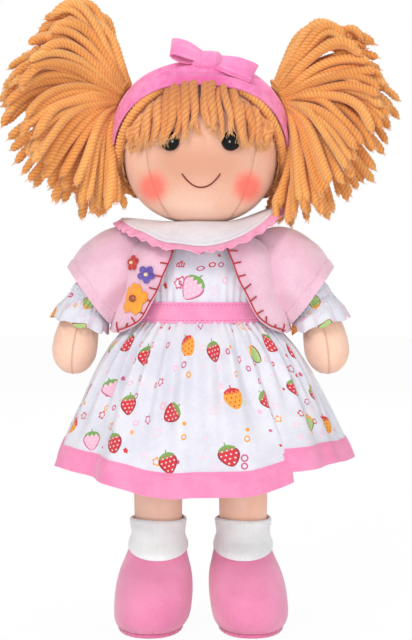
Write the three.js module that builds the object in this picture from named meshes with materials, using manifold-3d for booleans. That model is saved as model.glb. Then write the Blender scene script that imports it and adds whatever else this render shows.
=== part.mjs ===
// A soft rag doll with yarn hair, standing on its shoes. The body is stuffed cloth with sewn joints,
// dressed in a gathered dress, a felt jacket, ankle socks, padded shoes and a headband with a bow.
// Millimetres, +Z up. The doll faces -Y, so its own left side is at +X. Z is 0 under the soles.
import * as THREE from "three";
import { mergeVertices } from "three/addons/utils/BufferGeometryUtils.js";
import Module from "manifold-3d";

const wasm = await Module();
wasm.setup();

// Clearances and cloth thicknesses
const seamGap = 0.3; // between two pieces that are sewn or rest together
const turnGap = 0.5; // round a stuffed end that turns in its seat
const cottonThickness = 1.2;
const feltThickness = 1.8;
const ribbonThickness = 1.3;
const facetSag = 0.8; // how far the middle of a head facet lies inside the true curve
const cutOverrun = 90; // how far a cutting solid runs past what it cuts

// Legs, socks and shoes
const hipHeight = 126; // hip seam line above the floor
const hipSpacing = 48; // between the middles of the two legs
const legRadius = 13.5;
const shoeHeight = 43;
const shoeHalfWidth = 21.5;
const toeReach = 45; // from the leg's middle to the toe
const heelReach = 21;
const shoeSplay = 4; // how far each shoe stands outside its leg
const soleThickness = 2.2;
const sockHeight = 17;
const sockThickness = 2;
const gussetRadius = 5;

// Trunk and neck
const trunkLength = 93; // hip line to the top of the shoulders
const trunkHalfWidth = 37.5;
const trunkHalfDepth = 24.5;
const neckRadius = 13;
const neckRise = 3; // neck's turning point above the shoulders
const necklineRadius = 15.2;

// Head
const headHalfWidth = 43.5;
const headHalfDepth = 38;
const headHalfHeight = 43;
const headLift = 3.5; // head's underside above the neck's turning point
const eyeRadius = 5.25;
const eyeDome = 3.4; // how far an eye stands out
const eyeSpacing = 32.6;
const eyeLift = 1; // eyes above the head's middle
const shankRadius = 1.6;
const shankLength = 8;
const washerRadius = 6;
const washerThickness = 1.6;
const washerDepth = 4.4; // lock washer below the face

// Hair
const hairThickness = 5;
const braidRadius = 2.35;
const faceHalfWidth = 42.6; // the hairline round the face, seen from the front
const faceHalfHeight = 42;
const faceDrop = 9; // hairline's middle below the head's middle
const napeDrop = 30; // hair's lower edge below the head's middle
const fringeThickness = 3.6;
const bunchRootRadius = 7;
const bunchRootLift = 3; // root's middle outside the hair cap
const bunchTopReach = 52; // yarn length upwards, sideways and downwards
const bunchSideReach = 71;
const bunchLowReach = 75;
const bunchRidge = 1.1; // depth of the grooves between locks of yarn
const tieRadius = 1.5;
const tieDistance = 8; // hair tie from the root's middle

// Headband and bow
const bandWidth = 20;
const bandEndWidth = 8;
const bandDrop = 10; // the band's ends below the head's middle
const bowWidth = 11; // ribbon width
const bowReach = 21; // length of a loop
const bowLoopHeight = 7;
const knotWidth = 12;
const knotHeight = 12;
const knotDepth = 9;
const bowShift = 4; // bow to the doll's left of the band's middle

// Arms and shoulders
const shoulderSpacing = 92; // between the two shoulder turning points
const shoulderDrop = 20; // shoulder turning point below the trunk's top
const armRadius = 10.5;
const handRadius = 12.6;
const armDrop = 58; // shoulder turning point to fingertip height
const armReach = 26; // shoulder turning point to hand, sideways
const tabRadius = 5;

// Dress
const bodiceLength = 48; // waist seam to the trunk's top
const waistbandHeight = 11.5;
const waistbandThickness = 2;
const skirtFrontDrop = 91; // waist seam to the hem, at the front
const skirtSideLift = 14; // the hem's rise at the sides
const skirtHalfWidth = 82;
const skirtHalfDepth = 58;
const skirtFold = 5;
const hemBand = 12;
const frillRadius = 16.2;
const frillRipple = 0.9;

// Collar
const collarHalfWidth = 45;
const collarHalfDepth = 34;
const collarStand = 2.5; // its inner edge above the neckline
const collarFrontDrop = 8;
const collarSideRise = 8;
const trimWidth = 4.5;
const trimWave = 1.3;

// Jacket
const jacketBallRadius = 17;
const sleeveReach = 22; // shoulder turning point to the sleeve's mouth
const sleeveMouthRadius = 20.5;
const jacketDrop = 6; // jacket's hem below the waist seam
const jacketNeckRadius = 22;
const jacketFlareRise = 15; // where the jacket starts to flare, above the waist seam
const flowerThickness = 1.6;
const redFlowerRadius = 4.6;
const violetFlowerRadius = 5.2;
const orangeFlowerRadius = 8.6;

// Shapes, as shares of the sizes above
const trunkSquareness = 2.2;
const headSquareness = 2.3;
const trunkShares = [
  // half width, half depth, height
  [0.5, 0.42, 0.03],
  [0.84, 0.72, 0.06],
  [0.97, 0.92, 0.15],
  [1.0, 1.0, 0.32],
  [0.97, 1.0, 0.47],
  [0.955, 0.98, 0.6],
  [0.99, 0.95, 0.75],
  [0.98, 0.89, 0.84],
  [0.88, 0.78, 0.915],
  [0.66, 0.65, 0.962],
  [0.48, 0.57, 0.988],
  [0.4, 0.55, 1.0],
];
const thighShares = [0.97, 1.0, 1.03, 1.02, 1.0]; // leg's width from the ankle up to the hip
const shoeShares = [
  // half width, toe reach, heel reach, height
  [0.84, 0.92, 0.86, 0.0],
  [0.96, 0.985, 0.95, 0.09],
  [1.0, 1.0, 1.0, 0.24],
  [1.0, 0.92, 1.0, 0.5],
  [0.94, 0.72, 0.93, 0.7],
  [0.83, 0.48, 0.84, 0.87],
  [0.75, 0.36, 0.77, 1.0],
];
const armShares = [
  // sideways, downwards
  [0, 0],
  [0.35, 0.14],
  [0.66, 0.31],
  [0.85, 0.52],
  [0.96, 0.75],
  [1, 1],
];
const openingShares = [
  // half width of the jacket's front opening, height above its hem
  [0.36, 1.05],
  [0.38, 0.74],
  [0.5, 0.48],
  [0.78, 0.24],
  [1.12, 0.08],
  [1.4, -0.02],
];
const skirtSpreadPower = 0.69;
const foldCounts = [9, 14];
const foldWeightShares = [0.62, 0.38];
const fringeTopShare = 0.91; // fringe's upper edge, as a share of the hairline
const fringeHemShares = [0.08, -0.15]; // middle and ends of its lower edge, above the brow
const browClearance = 6; // brow level above the eyes' middles
const bunchTilt = THREE.MathUtils.degToRad(-9);
const bunchHalfSpread = THREE.MathUtils.degToRad(72);
const bunchHalfDepth = THREE.MathUtils.degToRad(33);
const bunchDirection = new THREE.Vector3(0.81, 0.03, 0.585).normalize();
const bandLean = THREE.MathUtils.degToRad(30);
const bowSeatLean = THREE.MathUtils.degToRad(21);
const bowLean = THREE.MathUtils.degToRad(36);
const legFold = THREE.MathUtils.degToRad(110);
const sleeveLean = THREE.MathUtils.degToRad(50); // sleeve's axis from straight down
const sleeveHoleLean = THREE.MathUtils.degToRad(22.5);
const sleeveHoleShare = 0.69; // of the sleeve's ball

// Facet counts
const trunkSides = 18;
const trunkRings = 9;
const capRings = 4; // rings of a rounded end
const roundSides = 14;
const seatSides = 20;
const headSides = 20;
const headRings = 12;
const legSides = 14;
const skirtSides = 60;
const skirtRings = 4;
const strandSides = 4; // samples over one yarn strand or lock
const collarSides = 32;
const fringeStrands = 13;
const bunchLocks = 12;
const trimWaves = 18;
const frillWaves = 7;
const eyeSides = 10;
const braidSteps = 20;
const braidSides = 6;
const bandSteps = 18;

// Levels and points that follow from the sizes
const trunkTop = hipHeight + trunkLength;
const waist = trunkTop - bodiceLength;
const neckPoint = new THREE.Vector3(0, 0, trunkTop + neckRise);
const headMiddle = new THREE.Vector3(0, 0, neckPoint.z + headLift + headHalfHeight);
const eyeLevel = headMiddle.z + eyeLift;
const jacketHem = waist - jacketDrop;
const X = new THREE.Vector3(1, 0, 0);
const Y = new THREE.Vector3(0, 1, 0);
const Z = new THREE.Vector3(0, 0, 1);

// Geometry helpers
function point(x, y, z) {
  return new THREE.Vector3(x, y, z);
}

// Turns a closed geometry's faces to point outwards.
function outward(geometry) {
  const positions = geometry.getAttribute("position");
  const index = geometry.index.array;
  const corner = (i) => new THREE.Vector3().fromBufferAttribute(positions, i);
  let volume = 0;
  for (let i = 0; i < index.length; i += 3) {
    volume += corner(index[i]).dot(corner(index[i + 1]).cross(corner(index[i + 2])));
  }
  if (volume < 0) {
    for (let i = 0; i < index.length; i += 3) {
      [index[i + 1], index[i + 2]] = [index[i + 2], index[i + 1]];
    }
  }
  return geometry;
}

// Skins a row of rings, each with the same number of points. A closed row joins its last ring to its
// first; an open one is capped at both ends.
function loft(rings, closed = false) {
  const sides = rings[0].length;
  const points = rings.flat();
  const faces = [];
  const joins = closed ? rings.length : rings.length - 1;
  for (let r = 0; r < joins; r++) {
    const low = r * sides;
    const high = ((r + 1) % rings.length) * sides;
    for (let s = 0; s < sides; s++) {
      const next = (s + 1) % sides;
      faces.push(low + s, low + next, high + next, low + s, high + next, high + s);
    }
  }
  if (!closed) {
    for (const [ring, turned] of [[0, true], [rings.length - 1, false]]) {
      const middle = rings[ring].reduce((sum, p) => sum.add(p), point(0, 0, 0)).divideScalar(sides);
      const hub = points.push(middle) - 1;
      for (let s = 0; s < sides; s++) {
        const a = ring * sides + s;
        const b = ring * sides + ((s + 1) % sides);
        faces.push(hub, turned ? b : a, turned ? a : b);
      }
    }
  }
  const geometry = new THREE.BufferGeometry().setFromPoints(points);
  geometry.setIndex(new THREE.BufferAttribute(new Uint32Array(faces), 1));
  return outward(geometry);
}

// An oval ring round a point, in a level plane unless two other directions are given.
function ovalRing(middle, halfWidth, halfDepth, sides, squareness = 2, across = X, along = Y) {
  return Array.from({ length: sides }, (_, i) => {
    const angle = (2 * Math.PI * i) / sides;
    const c = Math.cos(angle);
    const s = Math.sin(angle);
    return middle
      .clone()
      .addScaledVector(across, halfWidth * Math.sign(c) * Math.abs(c) ** (2 / squareness))
      .addScaledVector(along, halfDepth * Math.sign(s) * Math.abs(s) ** (2 / squareness));
  });
}

// Turns a closed geometry into a solid that can be joined and cut.
function solid(geometry) {
  const bare = geometry.clone();
  bare.deleteAttribute("normal");
  bare.deleteAttribute("uv");
  const merged = mergeVertices(bare);
  return new wasm.Manifold(
    new wasm.Mesh({
      numProp: 3,
      vertProperties: merged.getAttribute("position").array,
      triVerts: new Uint32Array(merged.index.array),
    }),
  );
}

function geometryOf(shape) {
  const mesh = shape.getMesh();
  const geometry = new THREE.BufferGeometry();
  geometry.setAttribute("position", new THREE.BufferAttribute(new Float32Array(mesh.vertProperties), 3));
  geometry.setIndex(new THREE.BufferAttribute(new Uint32Array(mesh.triVerts), 1));
  const flat = geometry.toNonIndexed();
  flat.computeVertexNormals();
  return flat;
}

function ball(radius, middle, sides = roundSides) {
  const geometry = new THREE.SphereGeometry(radius, sides, sides / 2);
  return solid(geometry.translate(middle.x, middle.y, middle.z));
}

// A ball to cut with, whose flat facets all lie outside the radius.
function seatBall(radius, middle) {
  return ball(radius / Math.cos(Math.PI / seatSides) ** 2, middle, seatSides);
}

function block(low, high) {
  const size = high.clone().sub(low);
  const geometry = new THREE.BoxGeometry(size.x, size.y, size.z);
  return solid(geometry.translate(...low.clone().add(high).divideScalar(2).toArray()));
}

// A round bar from one point to another.
function bar(radius, from, to, sides = roundSides) {
  const run = to.clone().sub(from);
  const geometry = new THREE.CylinderGeometry(radius, radius, run.length(), sides);
  geometry.applyQuaternion(new THREE.Quaternion().setFromUnitVectors(Y, run.clone().normalize()));
  return solid(geometry.translate(...from.clone().add(to).divideScalar(2).toArray()));
}

// A turned solid whose profile of (radius, distance) runs along a direction from a point.
function turned(profile, from, direction, sides) {
  const geometry = new THREE.LatheGeometry(profile.map(([r, t]) => new THREE.Vector2(r, t)), sides);
  geometry.applyQuaternion(new THREE.Quaternion().setFromUnitVectors(Y, direction));
  const merged = geometry.translate(from.x, from.y, from.z);
  merged.deleteAttribute("normal");
  merged.deleteAttribute("uv");
  return solid(outward(mergeVertices(merged)));
}

// Keeps what lies between two levels.
function between(shape, low, high) {
  const reach = cutOverrun * 2;
  return shape.intersect(block(point(-reach, -reach, low), point(reach, reach, high)));
}

const lerp = THREE.MathUtils.lerp;

// Trunk form, widened on all sides, from which the clothes take their shape
const trunkCurve = new THREE.CatmullRomCurve3(
  trunkShares.map(([w, d, h]) => point(w * trunkHalfWidth, d * trunkHalfDepth, h * trunkLength)),
);

// The trunk's half width and half depth at a level, found by halving the curve.
function trunkSection(level) {
  let low = 0;
  let high = 1;
  const halvings = 24;
  for (let i = 0; i < halvings; i++) {
    const middle = (low + high) / 2;
    if (trunkCurve.getPoint(middle).z + hipHeight < level) low = middle;
    else high = middle;
  }
  return trunkCurve.getPoint(low);
}

function trunkForm(extra, flare = () => [0, 0]) {
  const rings = [];
  for (let i = 0; i <= trunkRings; i++) {
    const section = trunkCurve.getPoint(i / trunkRings);
    const run = trunkCurve.getTangent(i / trunkRings);
    const slope = Math.hypot(run.x, run.z);
    const level = hipHeight + section.z - (extra * run.x) / slope;
    const [wider, deeper] = flare(level);
    const out = (extra * run.z) / slope;
    const ring = ovalRing(
      point(0, 0, level),
      section.x + out + wider,
      section.y + out + deeper,
      trunkSides,
      trunkSquareness,
    );
    rings.push(ring);
  }
  return solid(loft(rings));
}

// Skirt sizes at a share of the drop from the waist seam to the hem
const waistSection = trunkSection(waist);

function skirtSize(share) {
  const spread = Math.max(share, 0) ** skirtSpreadPower;
  return {
    halfWidth: lerp(waistSection.x + seamGap + cottonThickness, skirtHalfWidth, spread),
    halfDepth: lerp(waistSection.y + seamGap + cottonThickness, skirtHalfDepth, spread),
    fold: skirtFold * Math.max(share, 0),
  };
}

function skirtRing(share, extra) {
  const size = skirtSize(share);
  return Array.from({ length: skirtSides }, (_, i) => {
    const angle = (2 * Math.PI * i) / skirtSides;
    const wave = foldCounts.reduce((sum, n, k) => sum + foldWeightShares[k] * Math.cos(n * angle), 0);
    const [across, along] = [Math.cos(angle), Math.sin(angle)].map(
      (v) => Math.sign(v) * Math.abs(v) ** (2 / trunkSquareness),
    );
    const drop = skirtFrontDrop - skirtSideLift * across * across;
    return point(
      (size.halfWidth + extra + size.fold * wave) * across,
      (size.halfDepth + extra + size.fold * wave) * along,
      waist - seamGap - share * drop,
    );
  });
}

// A cloth wall of the skirt's form between two shares of its drop.
function skirtWall(from, to, rings, thickness = cottonThickness, extra = 0) {
  const shares = Array.from({ length: rings + 1 }, (_, i) => lerp(from, to, i / rings));
  const outside = shares.map((share) => skirtRing(share, extra));
  const inside = shares.reverse().map((share) => skirtRing(share, extra - thickness));
  return loft([...outside, ...inside], true);
}

// Head form, widened on all sides: a rounded egg whose three axes share one squareness
function headForm(extra) {
  const rings = [];
  for (let i = 1; i < headRings; i++) {
    const height = -Math.cos((Math.PI * i) / headRings);
    const share = (1 - Math.abs(height) ** headSquareness) ** (1 / headSquareness);
    const middle = point(0, 0, headMiddle.z + height * (headHalfHeight + extra));
    rings.push(
      ovalRing(
        middle,
        share * (headHalfWidth + extra),
        share * (headHalfDepth + extra),
        headSides,
        headSquareness,
      ),
    );
  }
  const geometry = loft(rings);
  // the two end hubs move out to the crown and the chin
  const positions = geometry.getAttribute("position");
  const last = positions.count - 1;
  positions.setXYZ(last - 1, 0, 0, headMiddle.z - headHalfHeight - extra);
  positions.setXYZ(last, 0, 0, headMiddle.z + headHalfHeight + extra);
  return solid(geometry);
}

// How far out a place is: 1 on the head's surface when that is widened by extra.
function headLevel(place, extra) {
  const x = Math.abs(place.x) / (headHalfWidth + extra);
  const y = Math.abs(place.y) / (headHalfDepth + extra);
  const z = Math.abs(place.z - headMiddle.z) / (headHalfHeight + extra);
  return x ** headSquareness + y ** headSquareness + z ** headSquareness;
}

// Where a ray from a place inside the head meets its surface, widened by extra.
function headSurface(from, direction, extra) {
  let low = 0;
  let high = headHalfWidth + headHalfDepth + headHalfHeight;
  const halvings = 32;
  for (let i = 0; i < halvings; i++) {
    const middle = (low + high) / 2;
    if (headLevel(from.clone().addScaledVector(direction, middle), extra) < 1) low = middle;
    else high = middle;
  }
  return from.clone().addScaledVector(direction, low);
}

function headNormal(place) {
  const power = headSquareness - 1;
  const steep = (value, half) => (Math.sign(value) * (Math.abs(value) / half) ** power) / half;
  return point(
    steep(place.x, headHalfWidth),
    steep(place.y, headHalfDepth),
    steep(place.z - headMiddle.z, headHalfHeight),
  ).normalize();
}

// The place on the face seen at (x, z) from the front, lifted along the surface's normal.
function facePoint(x, z, lift) {
  const sides = (Math.abs(x) / headHalfWidth) ** headSquareness;
  const ends = (Math.abs(z - headMiddle.z) / headHalfHeight) ** headSquareness;
  const share = Math.max(1 - sides - ends, 0) ** (1 / headSquareness);
  const place = point(x, -headHalfDepth * share, z);
  return place.clone().addScaledVector(headNormal(place), lift);
}

// Legs, socks, shoes and the hip gusset
const hip = (side) => point((side * hipSpacing) / 2, 0, hipHeight);

// Radii and heights that close a round end of a radius, from its widest ring to its tip
function roundEnd(radius, height) {
  return Array.from({ length: capRings }, (_, i) => {
    const angle = ((i + 1) / capRings) * (Math.PI / 2);
    return [i < capRings - 1 ? radius * Math.cos(angle) : 0, height + radius * Math.sin(angle)];
  });
}

function leg(side) {
  const length = hipHeight - shoeHeight - seamGap;
  const rise = (i) => (i / (thighShares.length - 1)) * length;
  const profile = thighShares.map((share, i) => [legRadius * share, rise(i)]);
  const ankle = point(hip(side).x, 0, shoeHeight + seamGap);
  return turned([[0, 0], ...profile, ...roundEnd(legRadius, length)], ankle, Z, legSides);
}

function sock(side) {
  const inner = legRadius * Math.max(...thighShares) + seamGap;
  const outer = inner + sockThickness;
  const low = shoeHeight + seamGap;
  const profile = [
    [inner, 0],
    [outer, 0],
    [outer, sockHeight * 0.9],
    [outer - sockThickness / 3, sockHeight],
    [inner, sockHeight],
    [inner, 0],
  ];
  return turned(profile, point(hip(side).x, 0, low), Z, legSides);
}

function shoeRing(side, [width, toe, heel, height]) {
  const front = -toe * toeReach;
  const back = heel * heelReach;
  const low = soleThickness + seamGap;
  const middle = point(
    hip(side).x + side * shoeSplay * (1 - height),
    (front + back) / 2,
    lerp(low, shoeHeight, height),
  );
  return ovalRing(middle, width * shoeHalfWidth, (back - front) / 2, roundSides, trunkSquareness);
}

function shoe(side) {
  return solid(loft(shoeShares.map((row) => shoeRing(side, row))));
}

function sole(side) {
  const outline = shoeRing(side, shoeShares[0]);
  const flatten = (z) => outline.map((p) => point(p.x, p.y, z));
  return solid(loft([flatten(0), flatten(soleThickness)]));
}

function hipGusset(grow = 0) {
  const reach = hipSpacing / 2 - legRadius * Math.max(...thighShares) - seamGap + grow;
  return bar(gussetRadius + grow, point(-reach, 0, hipHeight), point(reach, 0, hipHeight), legSides);
}

// Shoulder turning point and the parts that turn about it
const shoulder = (side) => point((side * shoulderSpacing) / 2, 0, trunkTop - shoulderDrop);

function trunk() {
  let shape = trunkForm(0).subtract(seatBall(neckRadius + turnGap, neckPoint));
  const clear = legRadius + turnGap;
  for (const side of [1, -1]) {
    shape = shape.subtract(seatBall(jacketBallRadius + turnGap, shoulder(side)));
    shape = shape.subtract(seatBall(clear, hip(side)));
    // room for the leg to fold forwards and up
    const foldedWay = point(0, -Math.sin(legFold), -Math.cos(legFold));
    const folded = hip(side).addScaledVector(foldedWay, cutOverrun);
    shape = shape.subtract(bar(clear, hip(side), folded));
    const inner = side * (hipSpacing / 2 - clear);
    const outer = side * (hipSpacing / 2 + clear + cutOverrun);
    const low = point(Math.min(inner, outer), -cutOverrun, hipHeight - cutOverrun);
    const high = point(Math.max(inner, outer), 0, hipHeight + clear);
    shape = shape.subtract(block(low, high));
  }
  return shape.subtract(hipGusset(seamGap));
}

function shoulderTab(side) {
  const from = shoulder(side);
  const inward = point(-side, 0, 0);
  const end = from.clone().addScaledVector(inward, jacketBallRadius + turnGap + tabRadius);
  return bar(tabRadius, from, end, legSides)
    .subtract(seatBall(armRadius + seamGap, from))
    .intersect(ball(jacketBallRadius + turnGap - seamGap, from));
}

const armCurve = (side) =>
  new THREE.CatmullRomCurve3(
    armShares.map(([out, down]) =>
      shoulder(side).add(point(side * out * armReach, 0, -down * armDrop)),
    ),
  );

// The arm's radius along its length: even to the wrist, fuller at the hand, round at the tip.
function armSize(share) {
  const wrist = 0.55;
  const palm = 0.8;
  if (share < wrist) return armRadius;
  const swell = Math.sin(((share - wrist) / (palm - wrist)) * (Math.PI / 2));
  if (share < palm) return lerp(armRadius, handRadius, swell);
  return handRadius * Math.sqrt(Math.max(1 - ((share - palm) / (1 - palm)) ** 2, 0));
}

function armRing(curve, share, radius, sides, ripple = 0) {
  const along = curve.getTangent(share);
  const across = new THREE.Vector3().crossVectors(Y, along).normalize();
  const ring = ovalRing(curve.getPoint(share), radius, radius, sides, 2, across, Y);
  const middle = curve.getPoint(share);
  return ring.map((p, i) => {
    const out = p.clone().sub(middle).normalize();
    return p.addScaledVector(out, ripple * Math.cos((2 * Math.PI * frillWaves * i) / sides));
  });
}

function arm(side) {
  const curve = armCurve(side);
  const along = curve.getTangent(0);
  const across = new THREE.Vector3().crossVectors(Y, along).normalize();
  const crown = roundEnd(armRadius, 0)
    .slice(0, -1)
    .reverse()
    .map(([radius, height]) => {
      const middle = curve.getPoint(0).addScaledVector(along, -height);
      return ovalRing(middle, radius, radius, legSides, 2, across, Y);
    });
  const stations = [0, 0.2, 0.4, 0.58, 0.68, 0.8, 0.9, 0.97, 0.995];
  const rings = stations.map((share) => armRing(curve, share, armSize(share), legSides));
  return solid(loft([...crown, ...rings]));
}

// The dress's own sleeve: a cotton tube down the arm that ends in a gathered frill.
function dressSleeve(side) {
  const curve = armCurve(side);
  const sides = frillWaves * 4;
  const snug = armRadius + seamGap;
  const rows = [
    // share of the arm, outer radius, ripple
    [0.24, snug + cottonThickness, 0],
    [0.36, snug + cottonThickness, 0],
    [0.47, lerp(snug, frillRadius, 0.6), frillRipple / 2],
    [0.59, frillRadius, frillRipple],
  ];
  const wall = (inset) => ([share, radius, ripple]) => armRing(curve, share, radius - inset, sides, ripple);
  return solid(loft([...rows.map(wall(0)), ...rows.toReversed().map(wall(cottonThickness))], true));
}

// The jacket's short sleeve: a ball over the shoulder that opens into a wide mouth.
function jacketSleeve(side) {
  const down = point(side * Math.sin(sleeveLean), 0, -Math.cos(sleeveLean));
  const rimShares = [-1, -0.82, -0.4, 0.1, 0.5];
  const ballWall = (radius) =>
    rimShares.map((share) => [radius * Math.sqrt(1 - share * share), radius * share]);
  const mouth = (inset) => [
    [lerp(jacketBallRadius, sleeveMouthRadius, 0.5) - inset, sleeveReach * 0.66],
    [sleeveMouthRadius - inset, sleeveReach],
  ];
  const outside = [...ballWall(jacketBallRadius), ...mouth(0)];
  const inside = [...ballWall(jacketBallRadius - feltThickness), ...mouth(feltThickness)];
  const shell = turned([...outside, ...inside.reverse()], shoulder(side), down, roundSides);
  const hole = point(-side * Math.cos(sleeveHoleLean), 0, Math.sin(sleeveHoleLean));
  const end = shoulder(side).addScaledVector(hole, cutOverrun);
  return shell.subtract(bar(jacketBallRadius * sleeveHoleShare, shoulder(side), end));
}

// Dress: bodice, waistband, skirt and its coloured hem
function armholes(shape) {
  return shape
    .subtract(seatBall(jacketBallRadius + turnGap, shoulder(1)))
    .subtract(seatBall(jacketBallRadius + turnGap, shoulder(-1)));
}

function neckline(shape, radius) {
  const low = point(0, 0, neckPoint.z - cutOverrun / 2);
  return shape.subtract(bar(radius, low, point(0, 0, neckPoint.z + cutOverrun)));
}

function bodice() {
  const wall = trunkForm(seamGap + cottonThickness).subtract(trunkForm(seamGap));
  const cut = between(wall, waist + waistbandHeight + seamGap, trunkTop + cottonThickness);
  return armholes(neckline(cut, necklineRadius));
}

function waistband() {
  const wall = trunkForm(seamGap + waistbandThickness).subtract(trunkForm(seamGap));
  return between(wall, waist, waist + waistbandHeight);
}

const hemShare = 1 - hemBand / skirtFrontDrop;
const hemGapShare = seamGap / skirtFrontDrop;

function skirt() {
  return skirtWall(0, hemShare - hemGapShare, skirtRings);
}

function skirtHem() {
  return skirtWall(hemShare, 1, 1);
}

// Collar: a stiff ring that lies on the neckline, lifts over the shoulders and dips in front
const collarSeat = trunkTop + cottonThickness + seamGap;

function collarPoint(angle, share, extra) {
  const c = Math.cos(angle);
  const s = Math.sin(angle);
  const inner = necklineRadius + seamGap;
  const rise = lerp(-collarFrontDrop, collarSideRise, c * c) - collarStand;
  const halfWidth = lerp(inner, collarHalfWidth, share);
  const halfDepth = lerp(inner, collarHalfDepth, share);
  return point(halfWidth * c, halfDepth * s, collarSeat + collarStand + rise * share ** 1.3 + extra);
}

function collar() {
  const steps = [0, 0.5, 1];
  const sections = Array.from({ length: collarSides }, (_, i) => {
    const angle = (2 * Math.PI * i) / collarSides;
    const top = steps.map((share) => collarPoint(angle, share, cottonThickness));
    const under = [1, 0.5].map((share) => collarPoint(angle, share, 0));
    const inner = top[0].clone().setZ(collarSeat);
    const outer = inner.clone().setZ(0).setLength(necklineRadius + seamGap + cottonThickness);
    const lip = outer.clone().setZ(collarSeat + collarStand);
    return [inner, ...top, ...under, lip, outer.setZ(collarSeat)];
  });
  return loft(sections, true);
}

// Gathered edging round the collar, waving up and down
function collarTrim() {
  const sides = trimWaves * 4;
  const sections = Array.from({ length: sides }, (_, i) => {
    const angle = (2 * Math.PI * i) / sides;
    const wave = Math.sin(trimWaves * angle);
    const edge = collarPoint(angle, 1, 0);
    const out = point(Math.cos(angle), Math.sin(angle), 0);
    const near = edge.clone().addScaledVector(out, seamGap + cottonThickness / 2);
    const far = near.clone().addScaledVector(out, trimWidth);
    far.z += trimWave * wave - trimWidth / 3;
    const up = (p) => p.clone().setZ(p.z + cottonThickness);
    return [near, far, up(far), up(near)];
  });
  return loft(sections, true);
}

// Jacket: one felt shell over the dress, open in front and split at its side seams
function jacketFlare(level) {
  const top = waist + jacketFlareRise;
  const share = THREE.MathUtils.clamp((top - level) / (top - jacketHem), 0, 1.4);
  const hemDrop = jacketDrop / (skirtFrontDrop - skirtSideLift);
  const skirtThere = skirtSize(hemDrop);
  const trunkThere = trunkSection(jacketHem);
  const inner = waistbandThickness + seamGap;
  return [skirtThere.halfWidth - trunkThere.x - inner, skirtThere.halfDepth - trunkThere.y - inner].map(
    (reach) => (reach + turnGap) * share ** 1.4,
  );
}

function jacketShell() {
  const inner = waistbandThickness + 2 * seamGap;
  const outside = trunkForm(inner + feltThickness, jacketFlare);
  const wall = outside.subtract(trunkForm(inner, jacketFlare));
  const skirtBelow = solid(skirtWall(0, hemShare, skirtRings, skirtHalfDepth / 4, seamGap));
  const cut = between(wall, jacketHem, neckPoint.z).subtract(skirtBelow);
  return armholes(neckline(cut, jacketNeckRadius));
}

// The front opening as seen from the front, curving away to the side seams at the hem.
function jacketOpening() {
  const height = trunkTop - jacketHem;
  const edge = openingShares.map(
    ([w, h]) => new THREE.Vector2(w * trunkHalfWidth, jacketHem + h * height),
  );
  const outline = new THREE.Shape().moveTo(-edge[0].x, edge[0].y).lineTo(edge[0].x, edge[0].y);
  outline.splineThru(edge.slice(1));
  outline.lineTo(-edge.at(-1).x, edge.at(-1).y);
  outline.splineThru(edge.toReversed().slice(1).map((p) => new THREE.Vector2(-p.x, p.y)));
  const settings = { depth: cutOverrun, bevelEnabled: false, curveSegments: 8 };
  return solid(new THREE.ExtrudeGeometry(outline, settings).rotateX(Math.PI / 2));
}

function jacketPieces() {
  const shell = jacketShell();
  const half = seamGap / 2;
  const reach = cutOverrun * 2;
  const back = shell.intersect(block(point(-reach, half, 0), point(reach, reach, reach * 2)));
  const opening = jacketOpening();
  const front = (side) => {
    const low = point(Math.min(0, side * reach), -reach, 0);
    const high = point(Math.max(0, side * reach), -half, reach * 2);
    return shell.intersect(block(low, high)).subtract(opening);
  };
  return { back, left: front(1), right: front(-1) };
}

// A sewn flower on the jacket's right front: five petals, with its back shaped to the felt.
function flower(radius, x, z, turn) {
  const petals = 5;
  const outline = new THREE.Shape();
  const steps = petals * 6;
  for (let i = 0; i < steps; i++) {
    const angle = (2 * Math.PI * i) / steps;
    const petal = Math.abs(Math.cos((petals * angle) / 2)) ** 0.6;
    const reach = radius * lerp(0.5, 1, petal);
    const corner = [reach * Math.cos(angle + turn), reach * Math.sin(angle + turn)];
    if (i) outline.lineTo(...corner);
    else outline.moveTo(...corner);
  }
  const settings = { depth: cutOverrun, bevelEnabled: false };
  const stem = new THREE.ExtrudeGeometry(outline, settings).rotateX(Math.PI / 2).translate(x, 0, z);
  const surface = waistbandThickness + 2 * seamGap + feltThickness;
  return solid(stem)
    .intersect(trunkForm(surface + seamGap + flowerThickness, jacketFlare))
    .subtract(trunkForm(surface + seamGap, jacketFlare));
}

// Head, with seats for the neck and for the two eyes
const eyePlace = (side) => facePoint((side * eyeSpacing) / 2, eyeLevel, 0);

// An eye's shank and lock washer, grown on all sides by a clearance.
function eyeSeat(side, grow) {
  const inward = headNormal(eyePlace(side)).negate();
  const flat = washerDepth - grow;
  const deep = washerDepth + washerThickness + grow;
  const profile = [
    [0, -cutOverrun / 9],
    [shankRadius + grow, -cutOverrun / 9],
    [shankRadius + grow, flat],
    [washerRadius + grow, flat],
    [washerRadius + grow, deep],
    [shankRadius + grow, deep],
    [shankRadius + grow, shankLength + grow],
    [0, shankLength + grow],
  ];
  return turned(profile, eyePlace(side), inward, eyeSides);
}

function head() {
  return headForm(0)
    .subtract(seatBall(neckRadius + turnGap, neckPoint))
    .subtract(eyeSeat(1, seamGap))
    .subtract(eyeSeat(-1, seamGap));
}

function eye(side) {
  const outwards = headNormal(eyePlace(side));
  const steps = 5;
  const dome = Array.from({ length: steps + 1 }, (_, i) => {
    const angle = (Math.PI / 2) * (i / steps);
    return [eyeRadius * Math.cos(angle), seamGap * 2 + eyeDome * Math.sin(angle)];
  });
  const profile = [
    [0, -shankLength],
    [shankRadius, -shankLength],
    [shankRadius, seamGap * 2],
    ...dome.slice(0, -1),
    [0, seamGap * 2 + eyeDome],
  ];
  return turned(profile, eyePlace(side), outwards, eyeSides);
}

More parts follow.
